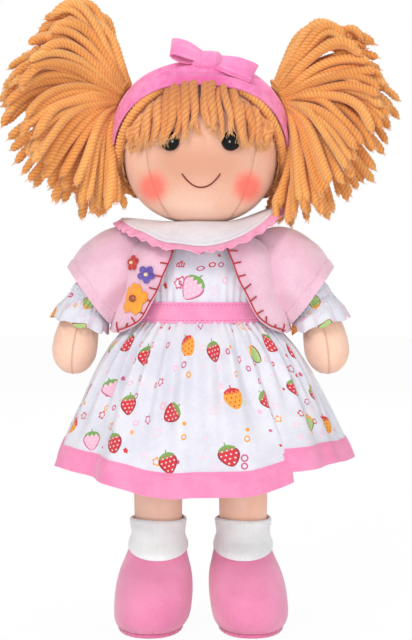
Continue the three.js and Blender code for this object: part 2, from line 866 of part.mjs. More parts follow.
function eyeWasher(side) {
  const inward = headNormal(eyePlace(side)).negate();
  const bore = shankRadius + seamGap;
  const profile = [
    [bore, washerDepth],
    [washerRadius, washerDepth],
    [washerRadius, washerDepth + washerThickness],
    [bore, washerDepth + washerThickness],
    [bore, washerDepth],
  ];
  return turned(profile, eyePlace(side), inward, eyeSides);
}

// Hairline: the path of the braid round the face, on the head's surface
const braidEnd = THREE.MathUtils.degToRad(112);

function hairline(angle, share, lift) {
  const x = share * faceHalfWidth * Math.sin(angle);
  const z = headMiddle.z - faceDrop + share * faceHalfHeight * Math.cos(angle);
  return facePoint(x, z, lift);
}

function faceBraid(grow = 0) {
  const middles = Array.from({ length: braidSteps + 1 }, (_, i) =>
    hairline(lerp(-braidEnd, braidEnd, i / braidSteps), 1, braidRadius + 2 * seamGap),
  );
  const rings = middles.map((middle, i) => {
    const before = middles[Math.max(i - 1, 0)];
    const after = middles[Math.min(i + 1, braidSteps)];
    const along = after.clone().sub(before).normalize();
    const out = headNormal(middle);
    const across = new THREE.Vector3().crossVectors(along, out).normalize();
    const up = new THREE.Vector3().crossVectors(across, along);
    return ovalRing(middle, braidRadius + grow, braidRadius + grow, braidSides, 2, across, up);
  });
  return solid(loft(rings));
}

// What the face leaves open in the hair: a cone from the head's middle through the hairline, which
// runs down past the chin. It is wider than the braid's path by the braid and a gap.
function faceOpening() {
  const widening = 1 + (braidRadius + seamGap) / faceHalfHeight;
  const edge = Array.from({ length: braidSteps + 1 }, (_, i) =>
    hairline(lerp(-braidEnd, braidEnd, i / braidSteps), 1, 0).sub(headMiddle),
  );
  const chin = [1, -1].map((side) => point(side * edge.at(-1).x, edge[0].y, -headHalfHeight * 2));
  const outline = [...edge, ...chin].map((p) => p.multiply(point(widening, 1, widening)));
  const scaled = (reach) => outline.map((p) => headMiddle.clone().addScaledVector(p, reach));
  const ahead = scaled(1.3).map((p) => p.addScaledVector(Y, -cutOverrun));
  return solid(loft([scaled(0.1), scaled(1.3), ahead]));
}

const bunchRoot = (side) => {
  const direction = bunchDirection.clone().setX(side * bunchDirection.x);
  return headSurface(headMiddle, direction, hairThickness).addScaledVector(direction, bunchRootLift);
};

function hairCap() {
  const nape = headMiddle.z - napeDrop;
  return headForm(hairThickness)
    .subtract(headForm(seamGap))
    .subtract(faceOpening())
    .subtract(faceBraid(seamGap))
    .subtract(seatBall(bunchRootRadius + turnGap, bunchRoot(1)))
    .subtract(seatBall(bunchRootRadius + turnGap, bunchRoot(-1)))
    .intersect(block(point(-cutOverrun, -cutOverrun, nape), point(cutOverrun, cutOverrun, cutOverrun * 5)));
}

// Fringe: yarn ends side by side, hanging from the hairline over the forehead
function fringe() {
  const rows = 2;
  const count = fringeStrands * strandSides;
  const halfAngle = THREE.MathUtils.degToRad(66);
  const sections = Array.from({ length: count + 1 }, (_, i) => {
    const across = lerp(-1, 1, i / count);
    const strand = Math.abs(Math.sin((Math.PI * i) / strandSides));
    const top = hairline(across * halfAngle, fringeTopShare, 0);
    const middle = lerp(fringeHemShares[0], fringeHemShares[1], across * across);
    const tip = eyeLevel + browClearance + middle * headHalfHeight + (1 - strand);
    const down = (share, lift) => {
      const z = lerp(top.z, Math.min(tip, top.z - fringeThickness), share);
      return facePoint(top.x * lerp(1, 0.97, share), z, lift);
    };
    const thick = seamGap + fringeThickness * lerp(0.62, 1, strand);
    const shares = Array.from({ length: rows + 1 }, (_, k) => k / rows);
    const over = shares.map((share) => down(share, lerp(thick, thick * 0.85, share)));
    const under = shares.reverse().map((share) => down(share, seamGap));
    return [...over, ...under];
  });
  return solid(loft(sections)).subtract(headForm(seamGap)).subtract(faceBraid(seamGap));
}

// Bunch: locks of yarn that fan out from the root, longer downwards than upwards
function bunch(side) {
  const root = bunchRoot(side);
  const samples = bunchLocks * strandSides;
  const ray = (angle, spread, reach) => {
    const rise = bunchTilt + spread * bunchHalfSpread * Math.cos(angle);
    const turn = spread * bunchHalfDepth * Math.sin(angle);
    const share = (bunchTilt + bunchHalfSpread - rise) / (2 * bunchHalfSpread);
    const bulge = bunchSideReach - (bunchTopReach + bunchLowReach) / 2;
    const length = lerp(bunchTopReach, bunchLowReach, share) + 4 * share * (1 - share) * bulge;
    const groove = bunchRidge * Math.cos(bunchLocks * angle) * spread;
    const level = Math.cos(turn);
    const direction = point(side * Math.cos(rise) * level, Math.sin(turn), Math.sin(rise) * level);
    return root.clone().addScaledVector(direction, reach * length + groove);
  };
  // rings run out along the sides of the fan, then close over the cut ends of the yarn
  const stations = [[1, 0.3], [1, 0.62], [1, 0.88], [0.93, 0.98], [0.66, 1], [0.3, 1.02]];
  const rings = stations.map(([spread, reach]) =>
    Array.from({ length: samples }, (_, i) => ray((2 * Math.PI * i) / samples, spread, reach)),
  );
  const start = ovalRing(root, tieRadius, tieRadius, samples, 2, Z, Y);
  return solid(loft([start, ...rings]))
    .subtract(bandBelow())
    .add(ball(bunchRootRadius, root, legSides))
    .subtract(hairTie(side, seamGap));
}

// The elastic round the bunch, close to its root
function hairTie(side, grow = 0) {
  const out = bunchDirection.clone().setX(side * bunchDirection.x);
  const ring = bunchRootRadius * 0.8 + tieRadius;
  const section = Array.from({ length: 5 }, (_, i) => {
    const angle = (Math.PI / 2) * i;
    const thick = tieRadius + grow;
    return [ring + thick * Math.cos(angle), tieDistance + thick * Math.sin(angle)];
  });
  return turned(section, bunchRoot(side), out, legSides);
}

// Headband: a ribbon over the hair from one side of the face to the other
const bandHub = point(0, 0, headMiddle.z - bandDrop);

function bandRay(angle, lean = bandLean) {
  return point(Math.sin(angle), -Math.cos(angle) * Math.sin(lean), Math.cos(angle) * Math.cos(lean));
}

function headband() {
  const steps = bandSteps;
  const end = THREE.MathUtils.degToRad(92);
  const inner = hairThickness + seamGap * 2;
  const sections = Array.from({ length: steps + 1 }, (_, i) => {
    const angle = lerp(-end, end, i / steps);
    const ray = bandRay(angle);
    const middle = headSurface(bandHub, ray, inner);
    const step = end / steps;
    const along = bandRay(angle + step).sub(bandRay(angle - step)).normalize();
    const across = new THREE.Vector3().crossVectors(along, ray).normalize();
    const half = lerp(bandEndWidth, bandWidth, Math.cos(angle) ** 0.7 || 0) / 2;
    const edge = (shift, extra) => {
      const aim = middle.clone().addScaledVector(across, shift).sub(bandHub).normalize();
      return headSurface(bandHub, aim, extra);
    };
    const shifts = [-half, 0, half];
    const under = shifts.map((shift) => edge(shift, inner));
    const over = shifts.reverse().map((shift) => edge(shift, inner + ribbonThickness));
    return [...under, ...over];
  });
  return loft(sections);
}

// Bow: two flattened ribbon loops and a knot, on top of the band
function bowFrame() {
  const angle = Math.asin(bowShift / headHalfWidth);
  const above = hairThickness + ribbonThickness + 3 * seamGap;
  const seat = headSurface(bandHub, bandRay(angle, bowSeatLean), above);
  const facing = point(0, -Math.sin(bowLean), Math.cos(bowLean));
  seat.addScaledVector(facing, knotDepth / 2);
  const frame = new THREE.Matrix4().makeBasis(X, facing, new THREE.Vector3().crossVectors(X, facing));
  return frame.setPosition(seat);
}

function bandBelow() {
  return headForm(hairThickness + ribbonThickness + 3 * seamGap + facetSag);
}

function bowKnot(grow = 0) {
  const geometry = new THREE.SphereGeometry(1, roundSides, roundSides / 2);
  const halves = [knotWidth, knotDepth, knotHeight].map((size) => size / 2 + grow);
  const positions = geometry.getAttribute("position");
  for (let i = 0; i < positions.count; i++) {
    const place = [positions.getX(i), positions.getY(i), positions.getZ(i)].map(
      (v, k) => Math.sign(v) * Math.abs(v) ** 0.7 * halves[k],
    );
    positions.setXYZ(i, ...place);
  }
  return solid(geometry.applyMatrix4(bowFrame()));
}

function bowLoop(side) {
  const steps = 14;
  const start = knotWidth / 4; // the loop's pinched end goes into the knot
  const droop = THREE.MathUtils.degToRad(side > 0 ? -20 : -4); // the bow leans to the doll's left
  const teardrop = (angle, inset) => {
    const share = (1 - Math.cos(angle)) / 2;
    const out = start + inset + share * (knotWidth / 4 + bowReach - 2 * inset);
    const rise = (bowLoopHeight / 2 - inset) * Math.sin(angle) * lerp(0.7, 1.15, share);
    const place = new THREE.Vector2(out, rise).rotateAround(new THREE.Vector2(), droop);
    return place.setX(side * place.x);
  };
  const sections = Array.from({ length: steps }, (_, i) => {
    const angle = (2 * Math.PI * i) / steps;
    const outer = teardrop(angle, 0);
    const inner = teardrop(angle, ribbonThickness);
    const half = (bowWidth / 2) * lerp(0.75, 1, (1 - Math.cos(angle)) / 2);
    return [
      point(outer.x, outer.y, -half),
      point(outer.x, outer.y, half),
      point(inner.x, inner.y, half),
      point(inner.x, inner.y, -half),
    ].map((p) => p.applyMatrix4(bowFrame()));
  });
  return solid(loft(sections, true)).subtract(bowKnot(seamGap)).subtract(bandBelow());
}

// Materials
function cloth(colour, roughness = 0.9) {
  return new THREE.MeshStandardMaterial({ color: colour, roughness, metalness: 0 });
}
const skinCotton = cloth(0xf6c9ae);
const printCotton = cloth(0xf3f1f4);
const whiteCotton = cloth(0xf0eff3);
const rosePink = cloth(0xf59fc4);
const ribbonPink = cloth(0xee74b0, 0.7);
const jacketFelt = cloth(0xf4c3d8, 0.95);
const shoeVelour = cloth(0xee8db9, 0.95);
const yarn = cloth(0xe0a463, 0.95);
const elastic = cloth(0xc98e50);
const eyePlastic = cloth(0x0b0a0c, 0.12);
const washerPlastic = cloth(0xe6e6e6, 0.5);

// Assembly
const doll = new THREE.Group();

function add(name, shape, material) {
  const geometry = shape.isBufferGeometry ? shape : geometryOf(shape);
  const mesh = new THREE.Mesh(geometry, material);
  mesh.name = name;
  doll.add(mesh);
}

add("torso", trunk(), skinCotton);
add("neck", ball(neckRadius, neckPoint), skinCotton);
add("head", head(), skinCotton);
add("hip_gusset", hipGusset(), skinCotton);
add("bodice", bodice(), printCotton);
add("waistband", waistband(), rosePink);
add("skirt", skirt(), printCotton);
add("skirt_hem", skirtHem(), rosePink);
add("collar", collar(), whiteCotton);
add("collar_trim", collarTrim(), rosePink);

const jacket = jacketPieces();
add("jacket_back", jacket.back, jacketFelt);
add("jacket_front_left", jacket.left, jacketFelt);
add("jacket_front_right", jacket.right, jacketFelt);
const flowerRows = [
  // name, radius, share of the trunk's half width, share of the jacket's height, turn, colour
  ["flower_red", redFlowerRadius, -0.79, 0.73, 0.3, 0xcf2b24],
  ["flower_violet", violetFlowerRadius, -0.56, 0.6, 0.9, 0x6a4fb0],
  ["flower_orange", orangeFlowerRadius, -0.76, 0.38, 0.1, 0xf7a41a],
];
for (const [name, radius, x, z, turn, colour] of flowerRows) {
  const level = jacketHem + z * (trunkTop - jacketHem);
  add(name, flower(radius, x * trunkHalfWidth, level, turn), cloth(colour));
}

add("hair_cap", hairCap(), yarn);
add("face_braid", faceBraid(), yarn);
add("fringe", fringe(), yarn);
add("headband", headband(), ribbonPink);
add("bow_knot", bowKnot().subtract(bandBelow()), ribbonPink);

for (const [label, side] of [["left", 1], ["right", -1]]) {
  add("eye_" + label, eye(side), eyePlastic);
  add("eye_washer_" + label, eyeWasher(side), washerPlastic);
  add("bunch_" + label, bunch(side), yarn);
  add("hair_tie_" + label, hairTie(side), elastic);
  add("bow_loop_" + label, bowLoop(side), ribbonPink);
  add("shoulder_tab_" + label, shoulderTab(side), skinCotton);
  add("arm_" + label, arm(side), skinCotton);
  add("dress_sleeve_" + label, dressSleeve(side), printCotton);
  add("jacket_sleeve_" + label, jacketSleeve(side), jacketFelt);
  add("leg_" + label, leg(side), skinCotton);
  add("sock_" + label, sock(side), whiteCotton);
  add("shoe_" + label, shoe(side), shoeVelour);
  add("sole_" + label, sole(side), rosePink);
}

export default doll;
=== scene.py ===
# %% [markdown]
# A soft rag doll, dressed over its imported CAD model
# The doll is sewn cotton with yarn hair, and almost nothing on it is hard. The CAD nodes give the place and
# the size of each part, so this lesson starts by loading them as a fixed frame. Every new piece is then made
# in the same frame, in metres, and says which body of the doll it moves with.

# %% Load the frame
import math

import bpy
import numpy as np
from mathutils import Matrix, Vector


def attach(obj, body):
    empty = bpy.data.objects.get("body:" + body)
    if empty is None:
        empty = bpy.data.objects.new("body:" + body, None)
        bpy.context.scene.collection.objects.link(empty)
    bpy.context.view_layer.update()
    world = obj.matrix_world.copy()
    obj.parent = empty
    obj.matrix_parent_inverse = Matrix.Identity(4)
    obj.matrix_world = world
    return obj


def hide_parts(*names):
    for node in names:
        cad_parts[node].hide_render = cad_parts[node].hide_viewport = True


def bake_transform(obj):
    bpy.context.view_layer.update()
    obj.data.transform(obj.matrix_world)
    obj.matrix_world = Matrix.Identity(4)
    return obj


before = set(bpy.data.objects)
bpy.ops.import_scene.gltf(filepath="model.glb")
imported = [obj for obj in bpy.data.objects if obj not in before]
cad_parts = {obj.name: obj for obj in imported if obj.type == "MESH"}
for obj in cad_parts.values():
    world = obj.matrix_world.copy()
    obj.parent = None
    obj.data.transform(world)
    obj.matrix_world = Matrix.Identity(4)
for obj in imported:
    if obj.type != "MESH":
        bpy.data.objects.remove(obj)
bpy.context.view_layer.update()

MM = 0.001
SIDES = (("left", 1), ("right", -1))
bpy.ops.object.select_all(action="DESELECT")

# %% [markdown]
# Working on one mesh at a time
# Blender's operators act on whatever is selected. The helpers below select one piece, read or set its
# points as one array, add a modifier and apply it at once, or run edit-mode tools on the whole mesh.

# %% Helpers for one mesh
def only(piece):
    bpy.ops.object.select_all(action="DESELECT")
    piece.select_set(True)
    bpy.context.view_layer.objects.active = piece


def coords(piece):
    flat = np.empty(len(piece.data.vertices) * 3)
    piece.data.vertices.foreach_get("co", flat)
    return flat.reshape(-1, 3)


def set_coords(piece, points):
    piece.data.vertices.foreach_set("co", np.ascontiguousarray(points, float).ravel())
    piece.data.update()


def modify(piece, kind, **settings):
    only(piece)
    modifier = piece.modifiers.new(kind.title(), kind)
    for key, value in settings.items():
        setattr(modifier, key, value)
    bpy.ops.object.modifier_apply(modifier=modifier.name)


def in_edit_mode(piece, operator, **settings):
    only(piece)
    bpy.ops.object.mode_set(mode="EDIT")
    bpy.ops.mesh.select_all(action="SELECT")
    operator(**settings)
    bpy.ops.object.mode_set(mode="OBJECT")


def smooth(piece, angle=50):
    only(piece)
    bpy.ops.object.shade_smooth_by_angle(angle=math.radians(angle))


# %% [markdown]
# Cloth from a flat grid
# Cloth is cut flat and then sewn round something, so every cloth piece here starts as a flat grid whose
# points are moved to their place on the doll. The grid's UV map keeps the flat size in metres: a print or a
# weave that follows it has the same scale everywhere, and gathers squeeze it as they do on real cloth.
# A row that closes on itself, or that shrinks to one point, is sewn shut by merging its doubles.

# %% A grid that is put in place
def face_table(piece):
    count = len(piece.data.polygons)
    normals, centres = np.empty(count * 3), np.empty(count * 3)
    piece.data.polygons.foreach_get("normal", normals)
    piece.data.polygons.foreach_get("center", centres)
    return normals.reshape(-1, 3), centres.reshape(-1, 3)


def cloth_grid(name, columns, rows, place, flat, hub, thickness=0.0, offset=-1.0):
    bpy.ops.mesh.primitive_grid_add(x_subdivisions=columns, y_subdivisions=rows, size=1)
    piece = bpy.context.object
    piece.name = name
    start = coords(piece)
    u, v = start[:, 0] + 0.5, start[:, 1] + 0.5
    corner = np.empty(len(piece.data.loops), int)
    piece.data.loops.foreach_get("vertex_index", corner)
    uv = np.stack([u[corner] * flat[0], v[corner] * flat[1]], axis=1)
    piece.data.uv_layers.active.data.foreach_set("uv", uv.ravel())
    set_coords(piece, place(u, v))
    in_edit_mode(piece, bpy.ops.mesh.remove_doubles, threshold=0.004 * MM)
    normals, centres = face_table(piece)
    out = (centres - hub(centres)) if callable(hub) else (centres - np.asarray(hub))
    if (normals * out).sum() < 0:
        in_edit_mode(piece, bpy.ops.mesh.flip_normals)
    if thickness:
        modify(piece, "SOLIDIFY", thickness=thickness, offset=offset)
    smooth(piece)
    return piece


def axis_hub(points):
    """The doll's own axis at each point's level, from which a garment's outside faces away."""
    hubs = points.copy()
    hubs[:, :2] = 0
    return hubs


# %% [markdown]
# Small mathematics
# A few shapes come back again and again: easing from 0 to 1, an oval section that is a little squarer than
# an ellipse, a smooth curve through a short table of sizes, and even steps along a path.

# %% Curves and sections
def mix(a, b, t):
    return a + (b - a) * t


def ease(low, high, value):
    t = np.clip((value - low) / (high - low), 0, 1)
    return t * t * (3 - 2 * t)


def bell(value, width):
    return np.exp(-((value / width) ** 2))


def oval(angle, half_width, half_depth, power=2.0):
    c, s = np.cos(angle), np.sin(angle)
    x = half_width * np.sign(c) * np.abs(c) ** (2 / power)
    y = half_depth * np.sign(s) * np.abs(s) ** (2 / power)
    return x, y


def smooth_rows(table, steps=24):
    """Points of a smooth curve through the rows of a table, by Catmull and Rom's rule."""
    rows = np.asarray(table, float)
    rows = np.vstack([2 * rows[0] - rows[1], rows, 2 * rows[-1] - rows[-2]])
    t = np.linspace(0, 1, steps, endpoint=False)[:, None]
    spans = []
    for a, b, c, d in zip(rows, rows[1:], rows[2:], rows[3:]):
        bent = 2 * a - 5 * b + 4 * c - d
        spans.append(0.5 * (2 * b + (c - a) * t + bent * t**2 + (3 * b - a - 3 * c + d) * t**3))
    return np.vstack([*spans, rows[-2][None]])


def at_share(curve, share):
    """Places at shares from 0 to 1 along the points of a curve."""
    marks = np.linspace(0, 1, len(curve))
    return np.stack([np.interp(share, marks, column) for column in curve.T], axis=-1)


def even_path(points, step):
    points = np.asarray(points, float)
    lengths = np.concatenate([[0], np.cumsum(np.linalg.norm(np.diff(points, axis=0), axis=1))])
    count = max(int(round(lengths[-1] / step)), 3)
    marks = np.linspace(0, lengths[-1], count + 1)
    return np.stack([np.interp(marks, lengths, column) for column in points.T], axis=-1)


def unit(vectors):
    return vectors / np.maximum(np.linalg.norm(vectors, axis=-1, keepdims=True), 1e-12)


def bezier(a, b, c, d, count=24):
    t = np.linspace(0, 1, count)[:, None]
    return a * (1 - t) ** 3 + 3 * b * t * (1 - t) ** 2 + 3 * c * t**2 * (1 - t) + d * t**3


# %% [markdown]
# Yarn and thread
# Yarn is several plies twisted together, and the ridges of its plies are what the eye reads as yarn. Each
# strand is therefore a tube whose section has one lobe for each ply, and whose points turn with the twist,
# so that the edges of the mesh follow the plies. Its UV map runs round and along the strand, and a tone of
# its own keeps one strand apart from the next.

# %% Strands swept along paths
YARN_TWIST = 9.4 * MM
FRINGE_TWIST = 12 * MM
THREAD_RADIUS = 0.5 * MM


def strand_frames(path):
    along = unit(np.gradient(path, axis=0))
    side = np.cross(along[0], [0.0, 0.0, 1.0])
    if np.linalg.norm(side) < 0.1:
        side = np.cross(along[0], [0.0, 1.0, 0.0])
    sides = []
    for direction in along:
        side = unit(side - direction * (side @ direction))
        sides.append(side)
    sides = np.array(sides)
    return along, sides, np.cross(along, sides)


def strands(name, paths, radius, step, plies=4, around=12, pitch=0.0, depth=0.2, thin=None, uneven=0.0):
    """One mesh of many strands. thin gives a strand's radius as a share, at shares of its length."""
    chance = np.random.default_rng(3)
    points, faces, uvs, tones = [], [], [], []
    first = 0
    for path in paths:
        path = even_path(path, step)
        count = len(path)
        along, sides, ups = strand_frames(path)
        run = np.linspace(0, 1, count)
        length = step * (count - 1)
        size = radius * (np.ones(count) if thin is None else thin(run))
        size = size * (1 + uneven * chance.uniform(-1, 1))
        from_end = np.minimum(run, 1 - run) * length
        size = size * np.sqrt(1 - (1 - np.clip(from_end / (0.7 * radius), 0.06, 1)) ** 2)
        turn = 2 * np.pi * (run * length / pitch if pitch else run * 0) + chance.uniform(0, 2 * np.pi)
        corner = 2 * np.pi * np.arange(around) / around
        lobe = 1 - depth * np.abs(np.sin(corner * plies / 2 + np.pi / 2)) ** 6 if plies else 1 + corner * 0
        angle = turn[:, None] + corner[None]
        reach = (size[:, None] * lobe[None])[..., None]
        ring = reach * (np.cos(angle)[..., None] * sides[:, None] + np.sin(angle)[..., None] * ups[:, None])
        points.append((path[:, None] + ring).reshape(-1, 3))
        low = first + np.arange(count - 1)[:, None] * around + np.arange(around)[None]
        next_low = first + np.arange(count - 1)[:, None] * around + (np.arange(around) + 1)[None] % around
        quads = np.stack([low, next_low, next_low + around, low + around], axis=-1).reshape(-1, 4)
        faces.extend(quads.tolist())
        faces.append((first + np.arange(around))[::-1].tolist())
        faces.append((first + (count - 1) * around + np.arange(around)).tolist())
        u0 = np.broadcast_to(np.arange(around) / around, (count - 1, around))
        v0 = np.broadcast_to((run[:-1] * length)[:, None], (count - 1, around))
        v1 = np.broadcast_to((run[1:] * length)[:, None], (count - 1, around))
        u1 = u0 + 1 / around
        corners = np.stack([u0, v0, u1, v0, u1, v1, u0, v1], axis=-1).reshape(-1, 2)
        uvs.extend([corners, np.zeros((2 * around, 2))])
        tones.append(np.full(count * around, chance.uniform(0, 1)))
        first += count * around
    mesh = bpy.data.meshes.new(name)
    mesh.from_pydata(np.vstack(points).tolist(), [], faces)
    mesh.uv_layers.new(name="UVMap").data.foreach_set("uv", np.vstack(uvs).ravel())
    mesh.attributes.new("tone", "FLOAT", "POINT").data.foreach_set("value", np.concatenate(tones))
    piece = bpy.data.objects.new(name, mesh)
    bpy.context.scene.collection.objects.link(piece)
    smooth(piece, 180)
    return piece

# %% [markdown]
# Painting with nodes
# Each finish is one Principled shader with a few texture nodes in front of it. This helper adds a node,
# joins the sockets that it is given, and keeps plain numbers on the node's own sockets.

# %% A helper that builds materials
class Finish:
    def __init__(self, name, colour, roughness, **constants):
        self.material = bpy.data.materials.new(name)
        self.material.use_nodes = True
        self.tree = self.material.node_tree
        self.shader = self.tree.nodes["Principled BSDF"]
        self.shader.inputs["Base Color"].default_value = (*colour, 1)
        self.shader.inputs["Roughness"].default_value = roughness
        for key, value in constants.items():
            self.shader.inputs[key.replace("_", " ")].default_value = value
        self.height = None

    def add(self, kind, inputs=None, **settings):
        node = self.tree.nodes.new("ShaderNode" + kind)
        for key, value in settings.items():
            setattr(node, key, value)
        for key, value in (inputs or {}).items():
            if isinstance(value, bpy.types.NodeSocket):
                self.tree.links.new(value, node.inputs[key])
            else:
                node.inputs[key].default_value = value
        return node

    def math(self, operation, a, b=0.0, c=0.0, clamp=False):
        return self.add("Math", {0: a, 1: b, 2: c}, operation=operation, use_clamp=clamp).outputs[0]

    def plus(self, a, b):
        return self.math("ADD", a, b)

    def minus(self, a, b):
        return self.math("SUBTRACT", a, b)

    def times(self, a, b):
        return self.math("MULTIPLY", a, b)

    def absolute(self, a):
        return self.math("ABSOLUTE", a)

    def vector(self, operation, a, b=(0, 0, 0)):
        node = self.add("VectorMath", {0: a, 1: b}, operation=operation)
        return node.outputs["Value"] if operation in ("LENGTH", "DOT_PRODUCT") else node.outputs[0]

    def coordinate(self, kind="Object"):
        return self.add("TexCoord").outputs[kind]

    def parts(self, vector):
        return self.add("SeparateXYZ", {0: vector}).outputs

    def joined(self, x, y, z=0.0):
        return self.add("CombineXYZ", {0: x, 1: y, 2: z}).outputs[0]

    def noise(self, vector, scale, detail=3.0, rough=0.55):
        return self.add(
            "TexNoise", {"Vector": vector, "Scale": scale, "Detail": detail, "Roughness": rough}
        ).outputs["Fac"]

    def band(self, value, low, high):
        """0 below low, 1 above high, and smooth between them."""
        inputs = {"Value": value, "From Min": low, "From Max": high}
        return self.add("MapRange", inputs, interpolation_type="SMOOTHSTEP").outputs[0]

    def spot(self, value, width, soft=0.3):
        """1 where a value is within its width, 0 outside."""
        return self.band(value, width * (1 + soft), width * (1 - soft))

    def blend(self, share, a, b):
        sides = [(*s, 1) if isinstance(s, tuple) and len(s) == 3 else s for s in (a, b)]
        return self.add("Mix", {0: share, 6: sides[0], 7: sides[1]}, data_type="RGBA").outputs[2]

    def pick(self, value, colours):
        """Steps through colours as a value runs from 0 to 1."""
        node = self.add("ValToRGB", {0: value})
        ramp = node.color_ramp
        ramp.interpolation = "CONSTANT"
        ramp.elements.remove(ramp.elements[1])
        for i, (start, colour) in enumerate(colours):
            element = ramp.elements[0] if i == 0 else ramp.elements.new(start)
            element.position = start
            element.color = (*colour, 1)
        return node.outputs[0]

    def colour(self, socket):
        self.tree.links.new(socket, self.shader.inputs["Base Color"])

    def rough(self, socket):
        self.tree.links.new(socket, self.shader.inputs["Roughness"])

    def raise_by(self, height, distance, strength=1.0):
        """Bumps the surface; later bumps ride on earlier ones."""
        node = self.add("Bump", {"Height": height, "Distance": distance, "Strength": strength})
        if self.height is not None:
            self.tree.links.new(self.height, node.inputs["Normal"])
        self.height = node.outputs[0]
        self.tree.links.new(self.height, self.shader.inputs["Normal"])


def wear(piece, finish):
    piece.data.materials.clear()
    piece.data.materials.append(finish.material)


def linear(red, green, blue):
    """The linear colour of a screen colour from 0 to 255."""
    shares = [value / 255 for value in (red, green, blue)]
    return tuple(s / 12.92 if s < 0.04045 else ((s + 0.055) / 1.055) ** 2.4 for s in shares)


# %% [markdown]
# Woven cotton
# The doll's skin, dress and ribbons are all plain woven cotton. Its threads are far finer than the doll, so
# the weave is a bump of two crossing waves, half a millimetre apart, broken by noise. Cotton scatters
# light at grazing angles, which a little sheen gives, and its colour is never quite even.

# %% Weave and colour variation
def weave(finish, flat, thread=0.45 * MM, depth=0.05 * MM):
    x, y, _ = finish.parts(flat)
    turn = 2 * math.pi / thread
    warp = finish.math("SINE", finish.times(x, turn))
    weft = finish.math("SINE", finish.times(y, turn))
    crossing = finish.times(warp, weft)
    finish.raise_by(crossing, depth, 0.6)


def cotton(name, colour, shade, roughness=0.85, patch=60, sheen=0.35, source="UV"):
    """Cotton whose colour drifts softly between two tones."""
    finish = Finish(name, colour, roughness, Sheen_Weight=sheen, Sheen_Roughness=0.5)
    place = finish.coordinate("Object")
    drift = finish.noise(place, patch, 4)
    slub = finish.noise(place, 700, 2)
    tone = finish.plus(finish.times(drift, 0.75), finish.times(slub, 0.25))
    finish.tone = finish.blend(finish.band(tone, 0.35, 0.65), shade, colour)
    finish.colour(finish.tone)
    finish.raise_by(finish.noise(place, 110, 3), 0.35 * MM, 0.5)
    weave(finish, finish.coordinate(source))
    return finish


def dashes(finish, along, across, level, length=2.4 * MM, width=0.28 * MM):
    """1 on a row of stitches that runs along one coordinate at a level of the other."""
    phase = finish.math("FRACT", finish.math("DIVIDE", along, length))
    on = finish.band(finish.absolute(finish.minus(phase, 0.5)), 0.38, 0.28)
    near = finish.spot(finish.absolute(finish.minus(across, level)), width)
    return finish.times(on, near)


SKIN = linear(254, 212, 188)
SKIN_SHADE = linear(247, 196, 168)
ribbon_cotton = cotton("ribbon_cotton", linear(246, 146, 198), linear(234, 118, 178), 0.6, sheen=0.6)
print("cotton finishes:", len(bpy.data.materials))

# %% [markdown]
# Skin with a painted face
# The skin is peach cotton. Two sewn seams run down the face and meet under the chin, each with a dotted
# line of stitches; they are found by their distance from an oval in the front view, so they need no mesh of
# their own. The blush is sprayed on the finished head, so it fades softly.

# %% Skin finishes
EYE_GAP = 32.6 * MM
EYE_LEVEL = 269.5 * MM
SEAM_MIDDLE = 275 * MM
SEAM_HALF = (30 * MM, 55 * MM)
BLUSH_SPOT = (26 * MM, 245 * MM)


def skin(name, source="UV"):
    return cotton(name, SKIN, SKIN_SHADE, 0.8, patch=45, sheen=0.25, source=source)


def seam_line(finish, distance, along, groove=0.25 * MM):
    """Darkens and sinks a seam, and dots it with stitches, where a distance in metres is nil."""
    away = finish.absolute(distance)
    line = finish.spot(away, 0.32 * MM, 0.6)
    dots = dashes(finish, along, distance, 0.45 * MM, 1.7 * MM, 0.3 * MM)
    dark = finish.math("MAXIMUM", finish.times(line, 0.35), finish.times(dots, 0.5))
    finish.tone = finish.blend(dark, finish.tone, linear(196, 122, 92))
    finish.colour(finish.tone)
    pinch = finish.spot(away, 1.2 * MM, 0.9)
    finish.raise_by(finish.times(pinch, -1.0), groove)
    finish.raise_by(finish.times(line, -1.0), groove)


def face_skin():
    finish = skin("face_skin", "Object")
    x, y, z = finish.parts(finish.coordinate("Object"))
    side = finish.absolute(x)
    across = finish.math("DIVIDE", side, SEAM_HALF[0])
    up = finish.math("DIVIDE", finish.minus(z, SEAM_MIDDLE), SEAM_HALF[1])
    squares = finish.plus(finish.math("POWER", across, 2.0), finish.times(up, up))
    away = finish.times(finish.minus(finish.math("SQRT", squares), 1.0), SEAM_HALF[0])
    seam_line(finish, away, z)
    spot_x = finish.minus(side, BLUSH_SPOT[0])
    spot_z = finish.minus(z, BLUSH_SPOT[1])
    mottle = finish.noise(finish.coordinate("Object"), 350, 4)
    spread = finish.vector("LENGTH", finish.joined(spot_x, spot_z))
    spread = finish.plus(spread, finish.times(finish.minus(mottle, 0.5), 3 * MM))
    fade = finish.band(spread, 11.5 * MM, 3.5 * MM)
    front = finish.band(y, 0.0, -10 * MM)
    blush = finish.times(finish.times(fade, front), 0.86)
    # Painted shade: the middle of the face, from the mouth up to the eyes and under the fringe, is darkened
    # to a deeper peach.
    painted_fringe_shade = finish.times(finish.band(z, 232 * MM, 256 * MM), finish.band(side, 50 * MM, 12 * MM))
    painted_fringe_shade = finish.times(painted_fringe_shade, finish.plus(finish.band(z, 280 * MM, 258 * MM), 0.35))
    finish.tone = finish.blend(finish.times(painted_fringe_shade, 0.66), finish.tone, linear(216, 152, 124))
    finish.colour(finish.blend(blush, finish.tone, linear(255, 108, 92)))
    return finish


def limb_skin(name, seam_at, width):
    """Skin of an arm or leg with a seam down it, at a place round its UV map."""
    finish = skin(name)
    x, y, _ = finish.parts(finish.coordinate("UV"))
    seam_line(finish, finish.minus(x, seam_at * width), y, 0.18 * MM)
    return finish


face_finish = face_skin()
plain_skin = skin("plain_skin", "Object")

# %% [markdown]
# A printed cotton
# The dress is printed with fruit, rings and dots in a few bright colours. The design here is a plain one of
# its own: the flat cloth is divided into squares, and each square picks, by chance, what it shows, in what
# colour, how it is turned and how far it sits from the middle. A berry's outline is a width at each height,
# and its leaf and seeds are cut from the same two coordinates.

